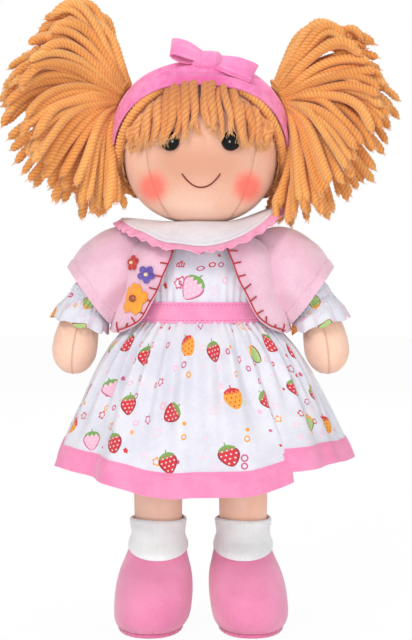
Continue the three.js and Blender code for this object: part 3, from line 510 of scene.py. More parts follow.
# %% The print
INK = {
    "red": linear(216, 40, 54),
    "dark_red": linear(150, 24, 40),
    "pink": linear(250, 190, 214),
    "rose": linear(206, 84, 128),
    "green": linear(168, 205, 120),
    "leaf": linear(120, 168, 84),
    "orange": linear(246, 166, 50),
    "white": linear(233, 232, 240),
    "pale_green": linear(200, 224, 178),
    "pale_pink": linear(246, 214, 226),
}


def scattered(finish, flat, size, drift, offset):
    """For each square of the flat cloth: chances of its own, and coordinates turned about its motif."""
    moved = finish.vector("ADD", flat, offset)
    scaled = finish.vector("SCALE", moved)
    scaled.node.inputs["Scale"].default_value = 1 / size
    cell = finish.vector("FLOOR", scaled)
    chance = finish.add("TexWhiteNoise", {"Vector": cell}, noise_dimensions="2D")
    other = finish.add(
        "TexWhiteNoise", {"Vector": finish.vector("ADD", cell, (31.7, 12.3, 0))}, noise_dimensions="2D"
    )
    shift = finish.vector("SUBTRACT", chance.outputs["Color"], (0.5, 0.5, 0.5))
    shift = finish.vector("MULTIPLY", shift, (drift, drift, 0))
    local = finish.vector("SUBTRACT", finish.vector("SUBTRACT", scaled, cell), (0.5, 0.5, 0))
    local = finish.vector("SUBTRACT", local, shift)
    local = finish.vector("MULTIPLY", local, (size, size, 0))
    angle = finish.times(finish.minus(other.outputs["Value"], 0.5), 1.6)
    turned = finish.add("VectorRotate", {"Vector": local, "Angle": angle}, rotation_type="Z_AXIS")
    return chance.outputs["Value"], other.outputs["Color"], turned.outputs[0]


def berries(finish, flat, ground, size=28 * MM, half=5.4 * MM):
    kind, _, local = scattered(finish, flat, size, 0.42, (0.011, 0.004, 0))
    x, y, _ = finish.parts(local)
    across = finish.math("DIVIDE", finish.absolute(x), 1.12 * half)
    up = finish.math("DIVIDE", y, half)
    room = finish.minus(1.0, finish.times(up, up))
    bulge = finish.math("MULTIPLY_ADD", up, 0.3, 0.86)
    width = finish.times(finish.math("SQRT", finish.math("MAXIMUM", room, 0.0)), bulge)
    inside = finish.minus(width, across)
    body = finish.band(inside, 0.0, 0.05)
    core = finish.band(inside, 0.13, 0.18)
    fill = finish.pick(kind, [(0, INK["red"]), (0.34, INK["pink"]), (0.58, INK["green"]),
                              (0.72, INK["orange"]), (0.9, INK["white"])])
    rim = finish.pick(kind, [(0, INK["dark_red"]), (0.34, INK["rose"]), (0.58, INK["dark_red"]),
                             (0.72, INK["orange"]), (0.9, INK["white"])])
    seed_ink = finish.pick(kind, [(0, INK["white"]), (0.34, INK["pale_pink"]), (0.58, INK["pale_green"]),
                                  (0.72, INK["red"]), (0.9, INK["white"])])
    leaf_ink = finish.pick(kind, [(0, INK["leaf"]), (0.58, INK["orange"]), (0.72, INK["red"]),
                                  (0.9, INK["white"])])
    colour = finish.blend(body, ground, rim)
    colour = finish.blend(core, colour, fill)
    seeds = finish.vector("MULTIPLY", local, (1 / (0.46 * half), 1 / (0.42 * half), 0))
    sx, sy, _ = finish.parts(seeds)
    sx = finish.plus(sx, finish.times(finish.math("FLOOR", sy), 0.5))
    sx = finish.minus(finish.math("FRACT", sx), 0.5)
    sy = finish.minus(finish.math("FRACT", sy), 0.5)
    dot = finish.spot(finish.vector("LENGTH", finish.joined(sx, sy)), 0.19)
    colour = finish.blend(finish.times(dot, core), colour, seed_ink)
    zigzag = finish.math("PINGPONG", finish.plus(across, 0.2), 0.2)
    foot = finish.math("MULTIPLY_ADD", zigzag, 1.7, 0.52)
    roof = finish.math("MULTIPLY_ADD", finish.times(across, across), -0.62, 1.2)
    over_foot = finish.band(finish.minus(up, foot), 0.0, 0.06)
    crown = finish.times(over_foot, finish.band(finish.minus(roof, up), 0.0, 0.06))
    crown = finish.times(crown, finish.band(across, 0.86, 0.8))
    stem = finish.times(finish.spot(across, 0.06), finish.band(up, 1.48, 1.42))
    stem = finish.times(stem, finish.band(up, 0.9, 1.0))
    return finish.blend(finish.math("MAXIMUM", crown, stem), colour, leaf_ink)


def rings_and_dots(finish, flat, ground, size, shares, offset):
    kind, chance, local = scattered(finish, flat, size, 0.5, offset)
    which, big, _ = finish.parts(chance)
    away = finish.vector("LENGTH", finish.vector("MULTIPLY", local, (1.25, 1, 0)))
    x, y, _ = finish.parts(local)
    petals = finish.math("COSINE", finish.times(finish.math("ARCTAN2", y, x), 2.5))
    petals = finish.minus(finish.absolute(petals), 0.6)
    in_bloom = finish.times(finish.band(big, 0.7, 0.71), 0.42)
    away = finish.math("DIVIDE", away, finish.plus(finish.times(petals, in_bloom), 1.0))
    radius = finish.math("MULTIPLY_ADD", big, 0.7 * MM, 1.2 * MM)
    edge = finish.absolute(finish.minus(away, radius))
    ring = finish.spot(edge, 0.42 * MM)
    past_dot = finish.minus(away, finish.times(radius, 0.75))
    dot = finish.band(past_dot, 0.12 * MM, -0.12 * MM)
    is_ring = finish.band(which, shares[0], shares[0] + 0.01)
    shape = finish.times(ring, is_ring)
    shape = finish.math("MAXIMUM", shape, finish.times(dot, finish.minus(1.0, is_ring)))
    shape = finish.times(shape, finish.band(kind, shares[1] + 0.01, shares[1]))
    ink = finish.pick(kind, [(0, INK["rose"]), (0.16, INK["red"]), (0.3, INK["pale_pink"]),
                             (0.48, INK["orange"]), (0.58, INK["pink"]), (0.7, INK["pale_green"]),
                             (0.8, INK["dark_red"])])
    return finish.blend(shape, ground, ink)


def print_cotton(name):
    finish = cotton(name, INK["white"], linear(219, 219, 231), 0.8)
    flat = finish.coordinate("UV")
    tone = rings_and_dots(finish, flat, finish.tone, 10 * MM, (0.4, 0.62), (0.003, 0.007, 0))
    tone = rings_and_dots(finish, flat, tone, 15 * MM, (0.15, 0.75), (0.0, 0.0, 0))
    finish.colour(berries(finish, flat, tone))
    return finish


dress_print = print_cotton("dress_print")

# %% [markdown]
# Felt, velour and yarn
# The jacket is brushed fleece and the shoes are velour: both are short fibres that hide any weave, so they
# get noise in two sizes and much sheen. Yarn gets fibres that run along the strand, across the turning plies,
# and a painted highlight on the crests of its plies, with painted shade in the grooves between them.

# %% Fibrous finishes
def fleece(name, colour, shade, grain=900, depth=0.35 * MM, sheen=0.8, patch=70):
    finish = Finish(name, colour, 0.95, Sheen_Weight=sheen, Sheen_Roughness=0.6)
    place = finish.coordinate("Object")
    drift = finish.noise(place, patch, 4)
    fibres = finish.noise(place, grain, 4, 0.7)
    tone = finish.plus(finish.times(drift, 0.6), finish.times(fibres, 0.4))
    finish.tone = finish.blend(finish.band(tone, 0.38, 0.62), shade, colour)
    finish.colour(finish.tone)
    finish.raise_by(finish.noise(place, 160, 3), 0.5 * MM, 0.5)
    finish.raise_by(fibres, depth, 0.8)
    return finish


def yarn_finish(name, dark, middle, light, plies=4, pitch=10.5 * MM):
    finish = Finish(name, middle, 0.9, Sheen_Weight=0.35, Sheen_Roughness=0.5)
    x, y, _ = finish.parts(finish.coordinate("UV"))
    # Painted highlight and shade: each ply's crest is painted lighter and the groove between plies darker,
    # mixed with the fibres' and the strand's own tone.
    painted_crest_light = finish.absolute(finish.math("SINE", finish.times(x, math.pi * plies)))
    straight = finish.plus(x, finish.math("DIVIDE", y, pitch))
    wide = finish.times(straight, 38.0)
    fibres = finish.noise(finish.joined(wide, finish.times(y, 330.0)), 1.0, 4, 0.65)
    tone = finish.add("Attribute", attribute_name="tone").outputs["Fac"]
    crest_light_and_tone = finish.plus(finish.times(painted_crest_light, 0.5), finish.times(fibres, 0.62))
    crest_light_and_tone = finish.plus(crest_light_and_tone, finish.times(tone, 0.28))
    colour = finish.blend(finish.band(crest_light_and_tone, 0.15, 0.75), dark, middle)
    finish.tone = finish.blend(finish.band(crest_light_and_tone, 0.7, 1.25), colour, light)
    finish.colour(finish.tone)
    finish.raise_by(fibres, 0.3 * MM, 0.7)
    return finish


jacket_fleece = fleece("jacket_fleece", linear(239, 196, 214), linear(230, 179, 201))
shoe_velour = fleece("shoe_velour", linear(246, 145, 187), linear(235, 124, 172), 1400, 0.2 * MM, 0.6, 40)
sole_felt = fleece("sole_felt", linear(232, 118, 168), linear(220, 102, 154))
hair_yarn = yarn_finish("hair_yarn", linear(198, 110, 38), linear(243, 160, 78), linear(255, 206, 126),
                        pitch=YARN_TWIST)
pale_fibre = yarn_finish("pale_fibre", linear(255, 172, 100), linear(255, 192, 124), linear(255, 212, 154))
red_thread = yarn_finish("red_thread", linear(120, 14, 26), linear(186, 30, 44), linear(214, 62, 70),
                         plies=2, pitch=2 * MM)
mouth_thread = yarn_finish("mouth_thread", linear(84, 22, 16), linear(128, 38, 28), linear(150, 60, 44),
                           plies=2, pitch=2 * MM)
elastic = yarn_finish("elastic", linear(188, 108, 46), linear(226, 146, 78), linear(246, 184, 112),
                      plies=3, pitch=4 * MM)
print("finishes:", len(bpy.data.materials))

# %% [markdown]
# The head
# The head is a stuffed ball of cotton, a little squarer than an egg. A UV sphere would pinch the cloth at
# its poles, so the head starts as a cube that is subdivided finely, and each point is pushed along its own
# ray to the head's surface. Stuffed cloth dips where the eyes are pulled in, so the surface sinks there.

# %% Head form
HEAD_MIDDLE = np.array([0, 0, 268.5]) * MM
HEAD_HALF = np.array([43.5, 38, 43]) * MM
HEAD_POWER = 2.3
NECK_POINT = (0, 0, 222 * MM)


def head_level(places, extra=0.0):
    scaled = np.abs(places - HEAD_MIDDLE) / (HEAD_HALF + np.asarray(extra)[..., None])
    return (scaled**HEAD_POWER).sum(axis=-1)


def head_normal(places):
    scaled = (places - HEAD_MIDDLE) / HEAD_HALF
    return unit(np.sign(scaled) * np.abs(scaled) ** (HEAD_POWER - 1) / HEAD_HALF)


def on_head(directions, extra=0.0, hub=HEAD_MIDDLE):
    """Where rays from a point inside the head meet its surface, when that is widened by extra."""
    directions = unit(np.asarray(directions, float))
    low = np.zeros(directions.shape[:-1])
    high = np.full(directions.shape[:-1], 0.14)
    for _ in range(34):
        middle = (low + high) / 2
        inside = head_level(hub + directions * middle[..., None], extra) < 1
        low, high = np.where(inside, middle, low), np.where(inside, high, middle)
    return hub + directions * low[..., None]


def face_place(x, z, lift=0.0):
    """The place on the face seen at (x, z) from the front, lifted off the cloth."""
    x, z = np.broadcast_arrays(np.asarray(x, float), np.asarray(z, float))
    taken = (np.abs(x) / HEAD_HALF[0]) ** HEAD_POWER
    taken = taken + (np.abs(z - HEAD_MIDDLE[2]) / HEAD_HALF[2]) ** HEAD_POWER
    depth = HEAD_HALF[1] * np.maximum(1 - taken, 0) ** (1 / HEAD_POWER)
    places = np.stack([x, -depth, z], axis=-1)
    return places + head_normal(places) * np.asarray(lift)[..., None]


def ball_to_cut(radius, middle, rings=32):
    bpy.ops.mesh.primitive_uv_sphere_add(segments=2 * rings, ring_count=rings, radius=radius,
                                         location=middle)
    cutter = bpy.context.object
    bpy.ops.object.transform_apply(location=True, rotation=True, scale=True)
    return cutter


def cut_away(piece, *cutters):
    for cutter in cutters:
        modify(piece, "BOOLEAN", operation="DIFFERENCE", object=cutter, solver="EXACT")
        bpy.data.objects.remove(cutter)
    smooth(piece)


bpy.ops.mesh.primitive_cube_add(size=2, location=(0, 0, 0))
head = bpy.context.object
head.name = "stuffed_head"
in_edit_mode(head, bpy.ops.mesh.subdivide, number_cuts=78)
rays = np.tan(coords(head) * math.pi / 4)
set_coords(head, on_head(rays))
for side in (1, -1):
    skin_points = coords(head)
    eye = face_place(side * EYE_GAP / 2, EYE_LEVEL)
    away = np.linalg.norm(skin_points - eye, axis=1)
    sink = 0.9 * MM * bell(away, 8 * MM)
    set_coords(head, skin_points - head_normal(skin_points) * sink[:, None])
cut_away(head, ball_to_cut(13.3 * MM, NECK_POINT))
wear(head, face_finish)
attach(head, "head")
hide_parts("head")
print("head faces:", len(head.data.polygons))

# %% [markdown]
# Eyes and a stitched smile
# Each eye is a polished plastic dome, pressed through the cloth and held by a washer behind it. A sphere cut
# just below its middle gives the dome. The smile is one embroidered thread that lies in a shallow curve and
# dives into the cloth at both ends.

# %% Eyes
EYE_RADIUS = 5.3 * MM
EYE_FOOT = 0.6 * MM
EYE_FLATNESS = 0.7
eye_gloss = Finish("eye_gloss", linear(10, 8, 10), 0.12, Specular_IOR_Level=0.2)
washer_plastic = Finish("washer_plastic", linear(226, 226, 224), 0.45)
washer_plastic.raise_by(washer_plastic.noise(washer_plastic.coordinate(), 900, 2), 0.05 * MM, 0.4)
speckle = eye_gloss.noise(eye_gloss.coordinate(), 500, 2)
eye_gloss.rough(eye_gloss.math("MULTIPLY_ADD", speckle, 0.05, 0.04))
eye_gloss.colour(eye_gloss.blend(speckle, linear(6, 5, 6), linear(16, 12, 13)))


def eye_button(label, side):
    place = face_place(side * EYE_GAP / 2, EYE_LEVEL)
    out = Vector(head_normal(place))
    bpy.ops.mesh.primitive_uv_sphere_add(segments=48, ring_count=32, radius=EYE_RADIUS)
    button = bpy.context.object
    button.name = "eye_button_" + label
    in_edit_mode(button, bpy.ops.mesh.bisect, plane_co=(0, 0, -EYE_FOOT), plane_no=(0, 0, 1),
                 clear_inner=True, use_fill=True)
    button.scale = (1, 1, EYE_FLATNESS)
    button.rotation_euler = out.to_track_quat("Z", "Y").to_euler()
    button.location = Vector(place) + out * 0.1 * MM
    only(button)
    bpy.ops.object.transform_apply(location=True, rotation=True, scale=True)
    smooth(button, 60)
    wear(button, eye_gloss)
    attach(button, "head")
    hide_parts("eye_" + label)
    wear(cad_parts["eye_washer_" + label], washer_plastic)


for label, side in SIDES:
    eye_button(label, side)
print("eyes at", round(EYE_LEVEL / MM, 1), "mm,", round(EYE_GAP / MM, 1), "mm apart")

# %% The smile
SMILE_MIDDLE = (0.4 * MM, 244.8 * MM)
SMILE_HALF = 10.7 * MM
SMILE_RISE = 7.8 * MM
reach = np.linspace(-1, 1, 61)
smile_x = SMILE_MIDDLE[0] + reach * SMILE_HALF
smile_z = SMILE_MIDDLE[1] + SMILE_RISE * np.abs(reach) ** 2.1
smile_lift = 0.15 * MM - 1.0 * MM * ease(0.93, 1.0, np.abs(reach))
smile = strands("smile_thread", [face_place(smile_x, smile_z, smile_lift)], THREAD_RADIUS, 0.25 * MM,
                plies=2, around=8, pitch=2 * MM, depth=0.25)
wear(smile, mouth_thread)
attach(smile, "head")
print("the smile is", round(2 * SMILE_HALF / MM, 1), "mm wide")

# %% [markdown]
# Trunk, neck and shoulders
# What lies under the dress is plain stuffed cotton. Its CAD solids already have the seats that the arms, legs
# and head turn in, so each one is copied, its loose triangles merged, and then remeshed and smoothed until
# the facets are gone. The neck is a stuffed ball between the trunk and the head; the gusset at the hips and
# the tabs in the shoulders are stuffed as well.

# %% Soft copies of CAD solids
TORSO_VOXEL = 1.2 * MM
JOINT_VOXEL = 0.6 * MM


def soft_copy(node, name, voxel, rounds):
    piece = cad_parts[node].copy()
    piece.data = piece.data.copy()
    piece.name = name
    piece.parent = None
    for key in list(piece.keys()):
        del piece[key]
    bpy.context.scene.collection.objects.link(piece)
    in_edit_mode(piece, bpy.ops.mesh.remove_doubles, threshold=0.002 * MM)
    modify(piece, "REMESH", mode="VOXEL", voxel_size=voxel)
    modify(piece, "SMOOTH", factor=0.5, iterations=rounds)
    smooth(piece, 70)
    return piece


for node, body, voxel, rounds in (
    ("torso", "torso", TORSO_VOXEL, 6),
    ("neck", "neck", JOINT_VOXEL, 5),
    ("hip_gusset", "hips", JOINT_VOXEL, 5),
    ("shoulder_tab_left", "shoulder_left", JOINT_VOXEL, 5),
    ("shoulder_tab_right", "shoulder_right", JOINT_VOXEL, 5),
):
    stuffed = soft_copy(node, "stuffed_" + node, voxel, rounds)
    wear(stuffed, plain_skin)
    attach(stuffed, body)
    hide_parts(node)
    print(stuffed.name, len(stuffed.data.polygons))

# %% [markdown]
# Arms and legs
# An arm is a cotton tube that bends outwards and ends in a fuller, rounded hand with a dart seam down its
# front. A leg is a straighter tube with a seam down the back. Both are grids closed round a middle line:
# the first and last rows shrink to a point, which closes the tube's ends.

# %% Arms
SHOULDER = np.array([46, 0, 199]) * MM
ARM_TABLE = np.array([[0, 0], [0.35, 0.14], [0.66, 0.31], [0.85, 0.52], [0.96, 0.75], [1, 1]])
ARM_SPAN = np.array([26, 58]) * MM
ARM_RADIUS = 10.5 * MM
HAND_RADIUS = 12.6 * MM
ARM_FLAT = (75 * MM, 95 * MM)
ARM_CROWN = 0.14


def arm_line(side):
    line = smooth_rows(ARM_TABLE)
    return np.stack([side * (SHOULDER[0] + line[:, 0] * ARM_SPAN[0]), 0 * line[:, 0],
                     SHOULDER[2] - line[:, 1] * ARM_SPAN[1]], axis=1)


def arm_frame(side, share):
    """Middle of the arm at a share of its length, its own direction, and the direction across it."""
    line = arm_line(side)
    along = unit(np.gradient(line, axis=0))
    middle, along = at_share(line, np.clip(share, 0, 1)), unit(at_share(along, np.clip(share, 0, 1)))
    across = unit(np.cross([0, 1, 0], along))
    return middle, along, across


def ring_about(across, angle):
    """Directions round a limb that lies in the doll's side-to-side plane."""
    return across * np.cos(angle)[:, None] + np.array([[0, 1, 0]]) * np.sin(angle)[:, None]


def arm_radius(share):
    palm = mix(ARM_RADIUS, HAND_RADIUS, np.sin(np.clip((share - 0.55) / 0.25, 0, 1) * math.pi / 2))
    tip = np.sqrt(np.maximum(1 - (np.clip(share - 0.8, 0, None) / 0.2) ** 2, 0))
    return palm * tip


def arm_skin(side):
    def place(u, v):
        angle = 2 * math.pi * u
        share = np.clip((v - ARM_CROWN) / (1 - ARM_CROWN), 0, 1)
        crown = np.clip(1 - v / ARM_CROWN, 0, 1) * math.pi / 2
        middle, along, across = arm_frame(side, share)
        radius = arm_radius(share) * np.cos(crown)
        pucker = 1 - 0.03 * bell(share - 0.62, 0.05) * (1 + np.cos(11 * angle + 2 * np.sin(3 * angle)))
        dent = 0.4 * MM * bell((angle - 1.5 * math.pi) * radius, 1.1 * MM) * ease(0.6, 0.75, share)
        radius = radius * pucker - dent
        middle = middle - along * (ARM_RADIUS * np.sin(crown))[:, None]
        return middle + ring_about(across, angle) * radius[:, None]

    return place


for label, side in SIDES:
    hub = SHOULDER * (side, 1, 1) + np.array([side * 16, 0, -28]) * MM
    arm = cloth_grid("stuffed_arm_" + label, 96, 110, arm_skin(side), ARM_FLAT, hub)
    wear(arm, limb_skin("arm_skin_" + label, 0.75, ARM_FLAT[0]))
    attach(arm, "arm_" + label)
    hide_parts("arm_" + label)
print("arm faces:", len(arm.data.polygons))

# %% Legs
HIP = np.array([24, 0, 126]) * MM
LEG_RADIUS = 13.5 * MM
ANKLE = 43.3 * MM
LEG_FLAT = (85 * MM, 100 * MM)
LEG_FOOT = 0.08
LEG_TOP = 0.82


def leg_skin(side):
    def place(u, v):
        angle = 2 * math.pi * u
        height = mix(ANKLE, HIP[2], np.clip((v - LEG_FOOT) / (LEG_TOP - LEG_FOOT), 0, 1))
        cap = np.clip((v - LEG_TOP) / (1 - LEG_TOP), 0, 1) * math.pi / 2
        low = np.clip(1 - v / LEG_FOOT, 0, 1)
        share = (height - ANKLE) / (HIP[2] - ANKLE)
        swell = np.interp(share, [0, 0.25, 0.5, 0.75, 1], [0.97, 1.0, 1.03, 1.02, 1.0])
        crease = 0.25 * MM * np.sin(3 * angle + 40 * share) * bell(share - 0.75, 0.25)
        radius = (LEG_RADIUS * swell + crease) * np.cos(cap) * (1 - low)
        radius = radius - 0.3 * MM * bell((angle - math.pi / 2) * LEG_RADIUS, 1.2 * MM) * (1 - low)
        x = side * HIP[0] + radius * np.cos(angle)
        return np.stack([x, radius * np.sin(angle), height + LEG_RADIUS * np.sin(cap)], axis=1)

    return place


for label, side in SIDES:
    hub = HIP * (side, 1, 1) + np.array([0, 0, -36]) * MM
    leg = cloth_grid("stuffed_leg_" + label, 88, 90, leg_skin(side), LEG_FLAT, hub)
    wear(leg, limb_skin("leg_skin_" + label, 0.25, LEG_FLAT[0]))
    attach(leg, "leg_" + label)
    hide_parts("leg_" + label)
print("leg faces:", len(leg.data.polygons))

# %% [markdown]
# Socks and shoes
# The socks are short knitted tubes with fine ribs and a rolled top edge, spread a little over the shoe in
# front. The shoes are padded velour, sewn to a flat sole: full at the toes, narrower at the top, and drawn in
# a little by the stitches at the sole seam.

# %% Socks
SOCK_FLAT = (98 * MM, 17 * MM)
SOCK_RADIUS = 15.5 * MM
SOCK_LOW, SOCK_TOP = 43.4 * MM, 60.2 * MM


def knit(name):
    finish = cotton(name, linear(249, 253, 252), linear(239, 245, 245), 0.9, sheen=0.7)
    x, y, _ = finish.parts(finish.coordinate("UV"))
    rib = finish.math("SINE", finish.times(x, 2 * math.pi / (1.5 * MM)))
    loops = finish.math("SINE", finish.times(y, 2 * math.pi / (0.9 * MM)))
    finish.raise_by(finish.plus(rib, finish.times(loops, 0.4)), 0.12 * MM, 0.6)
    return finish


sock_knit = knit("sock_knit")
for label, side in SIDES:
    def sock_place(u, v, side=side):
        angle = 2 * math.pi * u
        slouch = 0.35 * MM * np.sin(9 * v + 2 * np.sin(2 * angle)) * ease(0, 0.2, v) * ease(1, 0.8, v)
        roll = 0.5 * MM * bell(v - 0.93, 0.06) - 0.5 * MM * ease(0.95, 1, v)
        toes = np.maximum(-np.sin(angle), 0) ** 2
        spread = ease(0.45, 0, v) * (1.4 + 4.7 * toes) * MM
        radius = SOCK_RADIUS + slouch + roll + spread
        height = mix(SOCK_LOW - 4.6 * MM * toes, SOCK_TOP, v) + 0.3 * MM * np.sin(2 * angle) * v
        return np.stack([side * HIP[0] + radius * np.cos(angle), radius * np.sin(angle), height], axis=1)

    hub = HIP * (side, 1, 1) + np.array([0, 0, -75]) * MM
    sock = cloth_grid("knit_sock_" + label, 150, 30, sock_place, SOCK_FLAT, hub, 1.3 * MM)
    wear(sock, sock_knit)
    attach(sock, "leg_" + label)
    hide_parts("sock_" + label)
print("sock faces:", len(sock.data.polygons))

# %% Shoes and soles
SHOE_TABLE = np.array([
    # half width, toe reach, heel reach, height
    [0.84, 0.92, 0.86, 0.0], [0.96, 0.985, 0.95, 0.09], [1.0, 1.0, 1.0, 0.24], [1.0, 0.92, 1.0, 0.5],
    [0.94, 0.72, 0.93, 0.7], [0.83, 0.48, 0.84, 0.87], [0.75, 0.36, 0.77, 1.0],
])
SHOE_HALF = 21.5 * MM
TOE, HEEL = 45 * MM, 21 * MM
SHOE_LOW, SHOE_TOP = 2.5 * MM, 43 * MM
SPLAY = 4 * MM
SHOE_FLAT = (115 * MM, 70 * MM)
SOLE_FLAT = (115 * MM, 60 * MM)
SOLE_HALF = 1.1 * MM
TUCKS = 34


def shoe_ring(side, angle, row, shrink=1.0, grow=0.0):
    width, toe, heel, height = row.T
    front, back = -toe * TOE, heel * HEEL
    x, y = oval(angle, (width * SHOE_HALF + grow) * shrink, ((back - front) / 2 + grow) * shrink, 2.2)
    middle = side * (HIP[0] + SPLAY * (1 - height))
    return np.stack([x + middle, y + (front + back) / 2, mix(SHOE_LOW, SHOE_TOP, height)], axis=1)


def shoe_place(side):
    curve = smooth_rows(SHOE_TABLE)

    def place(u, v):
        angle = 2 * math.pi * u
        row = at_share(curve, np.clip((v - 0.12) / 0.74, 0, 1))
        shrink = ease(0, 0.12, v) * (1 - ease(0.86, 1, v) * np.clip((v - 0.86) / 0.14, 0, 1))
        low = bell(v - 0.16, 0.035)
        pucker = 0.45 * MM * low * np.sin(TUCKS * angle + 2 * np.sin(5 * angle))
        soft = 0.35 * MM * np.sin(3 * angle + 6 * v) * ease(0.1, 0.4, v)
        points = shoe_ring(side, angle, row, shrink, pucker + soft)
        points[:, 2] = np.where(v < 0.12, SHOE_LOW, points[:, 2])
        return points

    return place


def sole_place(side):
    def place(u, v):
        angle = 2 * math.pi * u
        rim = np.clip((v - 0.3) / 0.4, 0, 1) * math.pi
        edge = SOLE_HALF * (np.sin(rim) - 1) + 0.2 * MM * np.sin(TUCKS * angle) * np.sin(rim)
        shrink = np.clip(v / 0.3, 0, 1) * np.clip((1 - v) / 0.3, 0, 1)
        row = np.repeat(SHOE_TABLE[:1], len(u), axis=0)
        points = shoe_ring(side, angle, row, shrink, edge)
        points[:, 2] = SOLE_HALF * (1 - np.cos(rim)) + 0.05 * MM
        return points

    return place


for label, side in SIDES:
    hub = HIP * (side, 1, 0) + np.array([side * 3, -10, 20]) * MM
    shoe = cloth_grid("padded_shoe_" + label, 160, 90, shoe_place(side), SHOE_FLAT, hub)
    wear(shoe, shoe_velour)
    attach(shoe, "leg_" + label)
    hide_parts("shoe_" + label)
    sole = cloth_grid("felt_sole_" + label, 160, 30, sole_place(side), SOLE_FLAT, hub * (1, 1, 0.055))
    wear(sole, sole_felt)
    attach(sole, "leg_" + label)
    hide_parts("sole_" + label)
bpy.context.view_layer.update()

# %% [markdown]
# The skirt
# The skirt is one wide strip of printed cotton, gathered into the waist seam, with a plain band sewn on as
# its hem. Seen flat it is a rectangle, so its UV map is one too, and the gathers squeeze the print near the
# waist. Tight pleats at the waist run into fewer, broader folds lower down. On the doll's left front the
# cloth doubles back over itself once, so the round of the cloth turns back there for a short way.

# %% Skirt form
WAIST = 171 * MM
WAIST_HALF = np.array([37.2, 25.8]) * MM
HEM_HALF = np.array([82, 58]) * MM
FRONT_DROP = 91 * MM
SIDE_LIFT = 14 * MM
HEM_DROP = 12 * MM
HEM_SHARE = 1 - HEM_DROP / FRONT_DROP
PLEAT_AT = math.radians(-57)
PLEAT_WIDTH = 0.15


def skirt_at(turn, share, out=0.0):
    """The skirt's cloth at an angle round the doll and a share of its drop."""
    low = np.maximum(share, 0)
    past = turn - PLEAT_AT
    near = bell(past, PLEAT_WIDTH)
    fold = ease(0.25, 0.95, low)
    angle = turn - 2.1 * fold * past * near
    step = np.tanh(past / (0.45 * PLEAT_WIDTH))
    overlap = -3.8 * MM * fold * step * bell(past, 2.6 * PLEAT_WIDTH)
    spread = low**0.69
    half_width = mix(WAIST_HALF[0], HEM_HALF[0], spread)
    half_depth = mix(WAIST_HALF[1], HEM_HALF[1], spread)
    broad = 0.62 * np.cos(9 * turn) + 0.38 * np.cos(14 * turn + 1.2 * np.sin(turn))
    gathers = np.cos(58 * turn + 2.2 * np.sin(5 * turn)) + 0.5 * np.cos(31 * turn + 1.3 * np.sin(9 * turn))
    streaks = np.sin(25 * turn + 1.7 * np.sin(4 * turn) + 1.2 * low)
    wave = 4.2 * MM * low * broad + 0.75 * MM * gathers * np.exp(-low / 0.13)
    pleats = np.cos(34 * turn + 1.9 * np.sin(3 * turn + 0.6)) * ease(0.02, 0.2, low) * ease(0.85, 0.3, low)
    wave = wave + 1.9 * MM * streaks * np.sqrt(low) * (1 - 0.7 * low) + 1.7 * MM * pleats + overlap + out
    x, y = oval(angle, 1.0, 1.0, 2.2)
    sag = 1.3 * MM * np.sin(5 * turn + 0.8) * low + 0.8 * MM * np.sin(11 * turn) * low
    raised = 7 * MM * fold * ease(-0.6 * PLEAT_WIDTH, 0.6 * PLEAT_WIDTH, past) * ease(1.0, 0.1, past)
    drop = FRONT_DROP - SIDE_LIFT * x * x
    z = WAIST - 0.3 * MM - share * drop + sag + raised
    return np.stack([(half_width + wave) * x, (half_depth + wave) * y, z], axis=1)


# %% Skirt and hem
SKIRT_FLAT = (480 * MM, 82 * MM)
HEM_FLAT = (480 * MM, 12.5 * MM)
HEM_STITCH = 11.3 * MM


def skirt_place(u, v):
    return skirt_at(2 * math.pi * (u - 0.75), HEM_SHARE * (1 - v) - 0.01 * v)


def hem_place(u, v):
    share = mix(1.0, HEM_SHARE - 0.015, v)
    return skirt_at(2 * math.pi * (u - 0.75), share, 0.5 * MM + 0.35 * MM * np.sin(v * math.pi))


skirt = cloth_grid("gathered_skirt", 520, 52, skirt_place, SKIRT_FLAT, axis_hub, 0.7 * MM)
hem = cloth_grid("skirt_hem_band", 520, 8, hem_place, HEM_FLAT, axis_hub, 1.1 * MM)


def stitched(name, base, ink, width, levels):
    """Plain cotton with rows of stitches at levels of its UV map."""
    finish = cotton(name, *base)
    x, y, _ = finish.parts(finish.coordinate("UV"))
    for level in levels:
        row = dashes(finish, x, y, level, 2.3 * MM, width)
        finish.tone = finish.blend(finish.times(row, 0.8), finish.tone, ink)
        pull = finish.spot(finish.absolute(finish.minus(y, level)), 1.1 * MM, 0.8)
        finish.raise_by(finish.times(pull, -1.0), 0.22 * MM)
    finish.colour(finish.tone)
    return finish


hem_cotton = stitched("hem_cotton", (linear(248, 150, 192), linear(240, 132, 180)), linear(238, 128, 172),
                      0.22 * MM, [HEM_STITCH])
wear(skirt, dress_print)
wear(hem, hem_cotton)
for piece, node, slot_name in ((skirt, "skirt", "print_cotton"), (hem, "skirt_hem", "rose_pink")):
    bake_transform(piece)
    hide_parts(node)
print("skirt faces:", len(skirt.data.polygons), "hem faces:", len(hem.data.polygons))

# %% [markdown]
# Bodice and waistband
# Both follow the trunk, so they take their section from it at each height, a little further out. The trunk's
# sizes come from one short table. The bodice is taken in above the waistband, which makes fine puckers, and
# the waistband has a row of stitches along each edge.

# %% Trunk sections
TRUNK_HALF = (37.5 * MM, 24.5 * MM)
TRUNK_HEIGHT = 93 * MM
TRUNK_TABLE = np.array([
    # half width, half depth, height
    [0.5, 0.42, 0.03], [0.84, 0.72, 0.06], [0.97, 0.92, 0.15], [1.0, 1.0, 0.32], [0.97, 1.0, 0.47],
    [0.955, 0.98, 0.6], [0.99, 0.95, 0.75], [0.98, 0.89, 0.84], [0.88, 0.78, 0.915], [0.66, 0.65, 0.962],
    [0.48, 0.57, 0.988], [0.4, 0.55, 1.0],
]) * (*TRUNK_HALF, TRUNK_HEIGHT)
TRUNK_CURVE = smooth_rows(TRUNK_TABLE)
TRUNK_FOOT = 126 * MM


def trunk_share(height):
    """The share of the trunk's curve that lies at a height."""
    return np.interp(height, TRUNK_FOOT + TRUNK_CURVE[:, 2], np.linspace(0, 1, len(TRUNK_CURVE)))


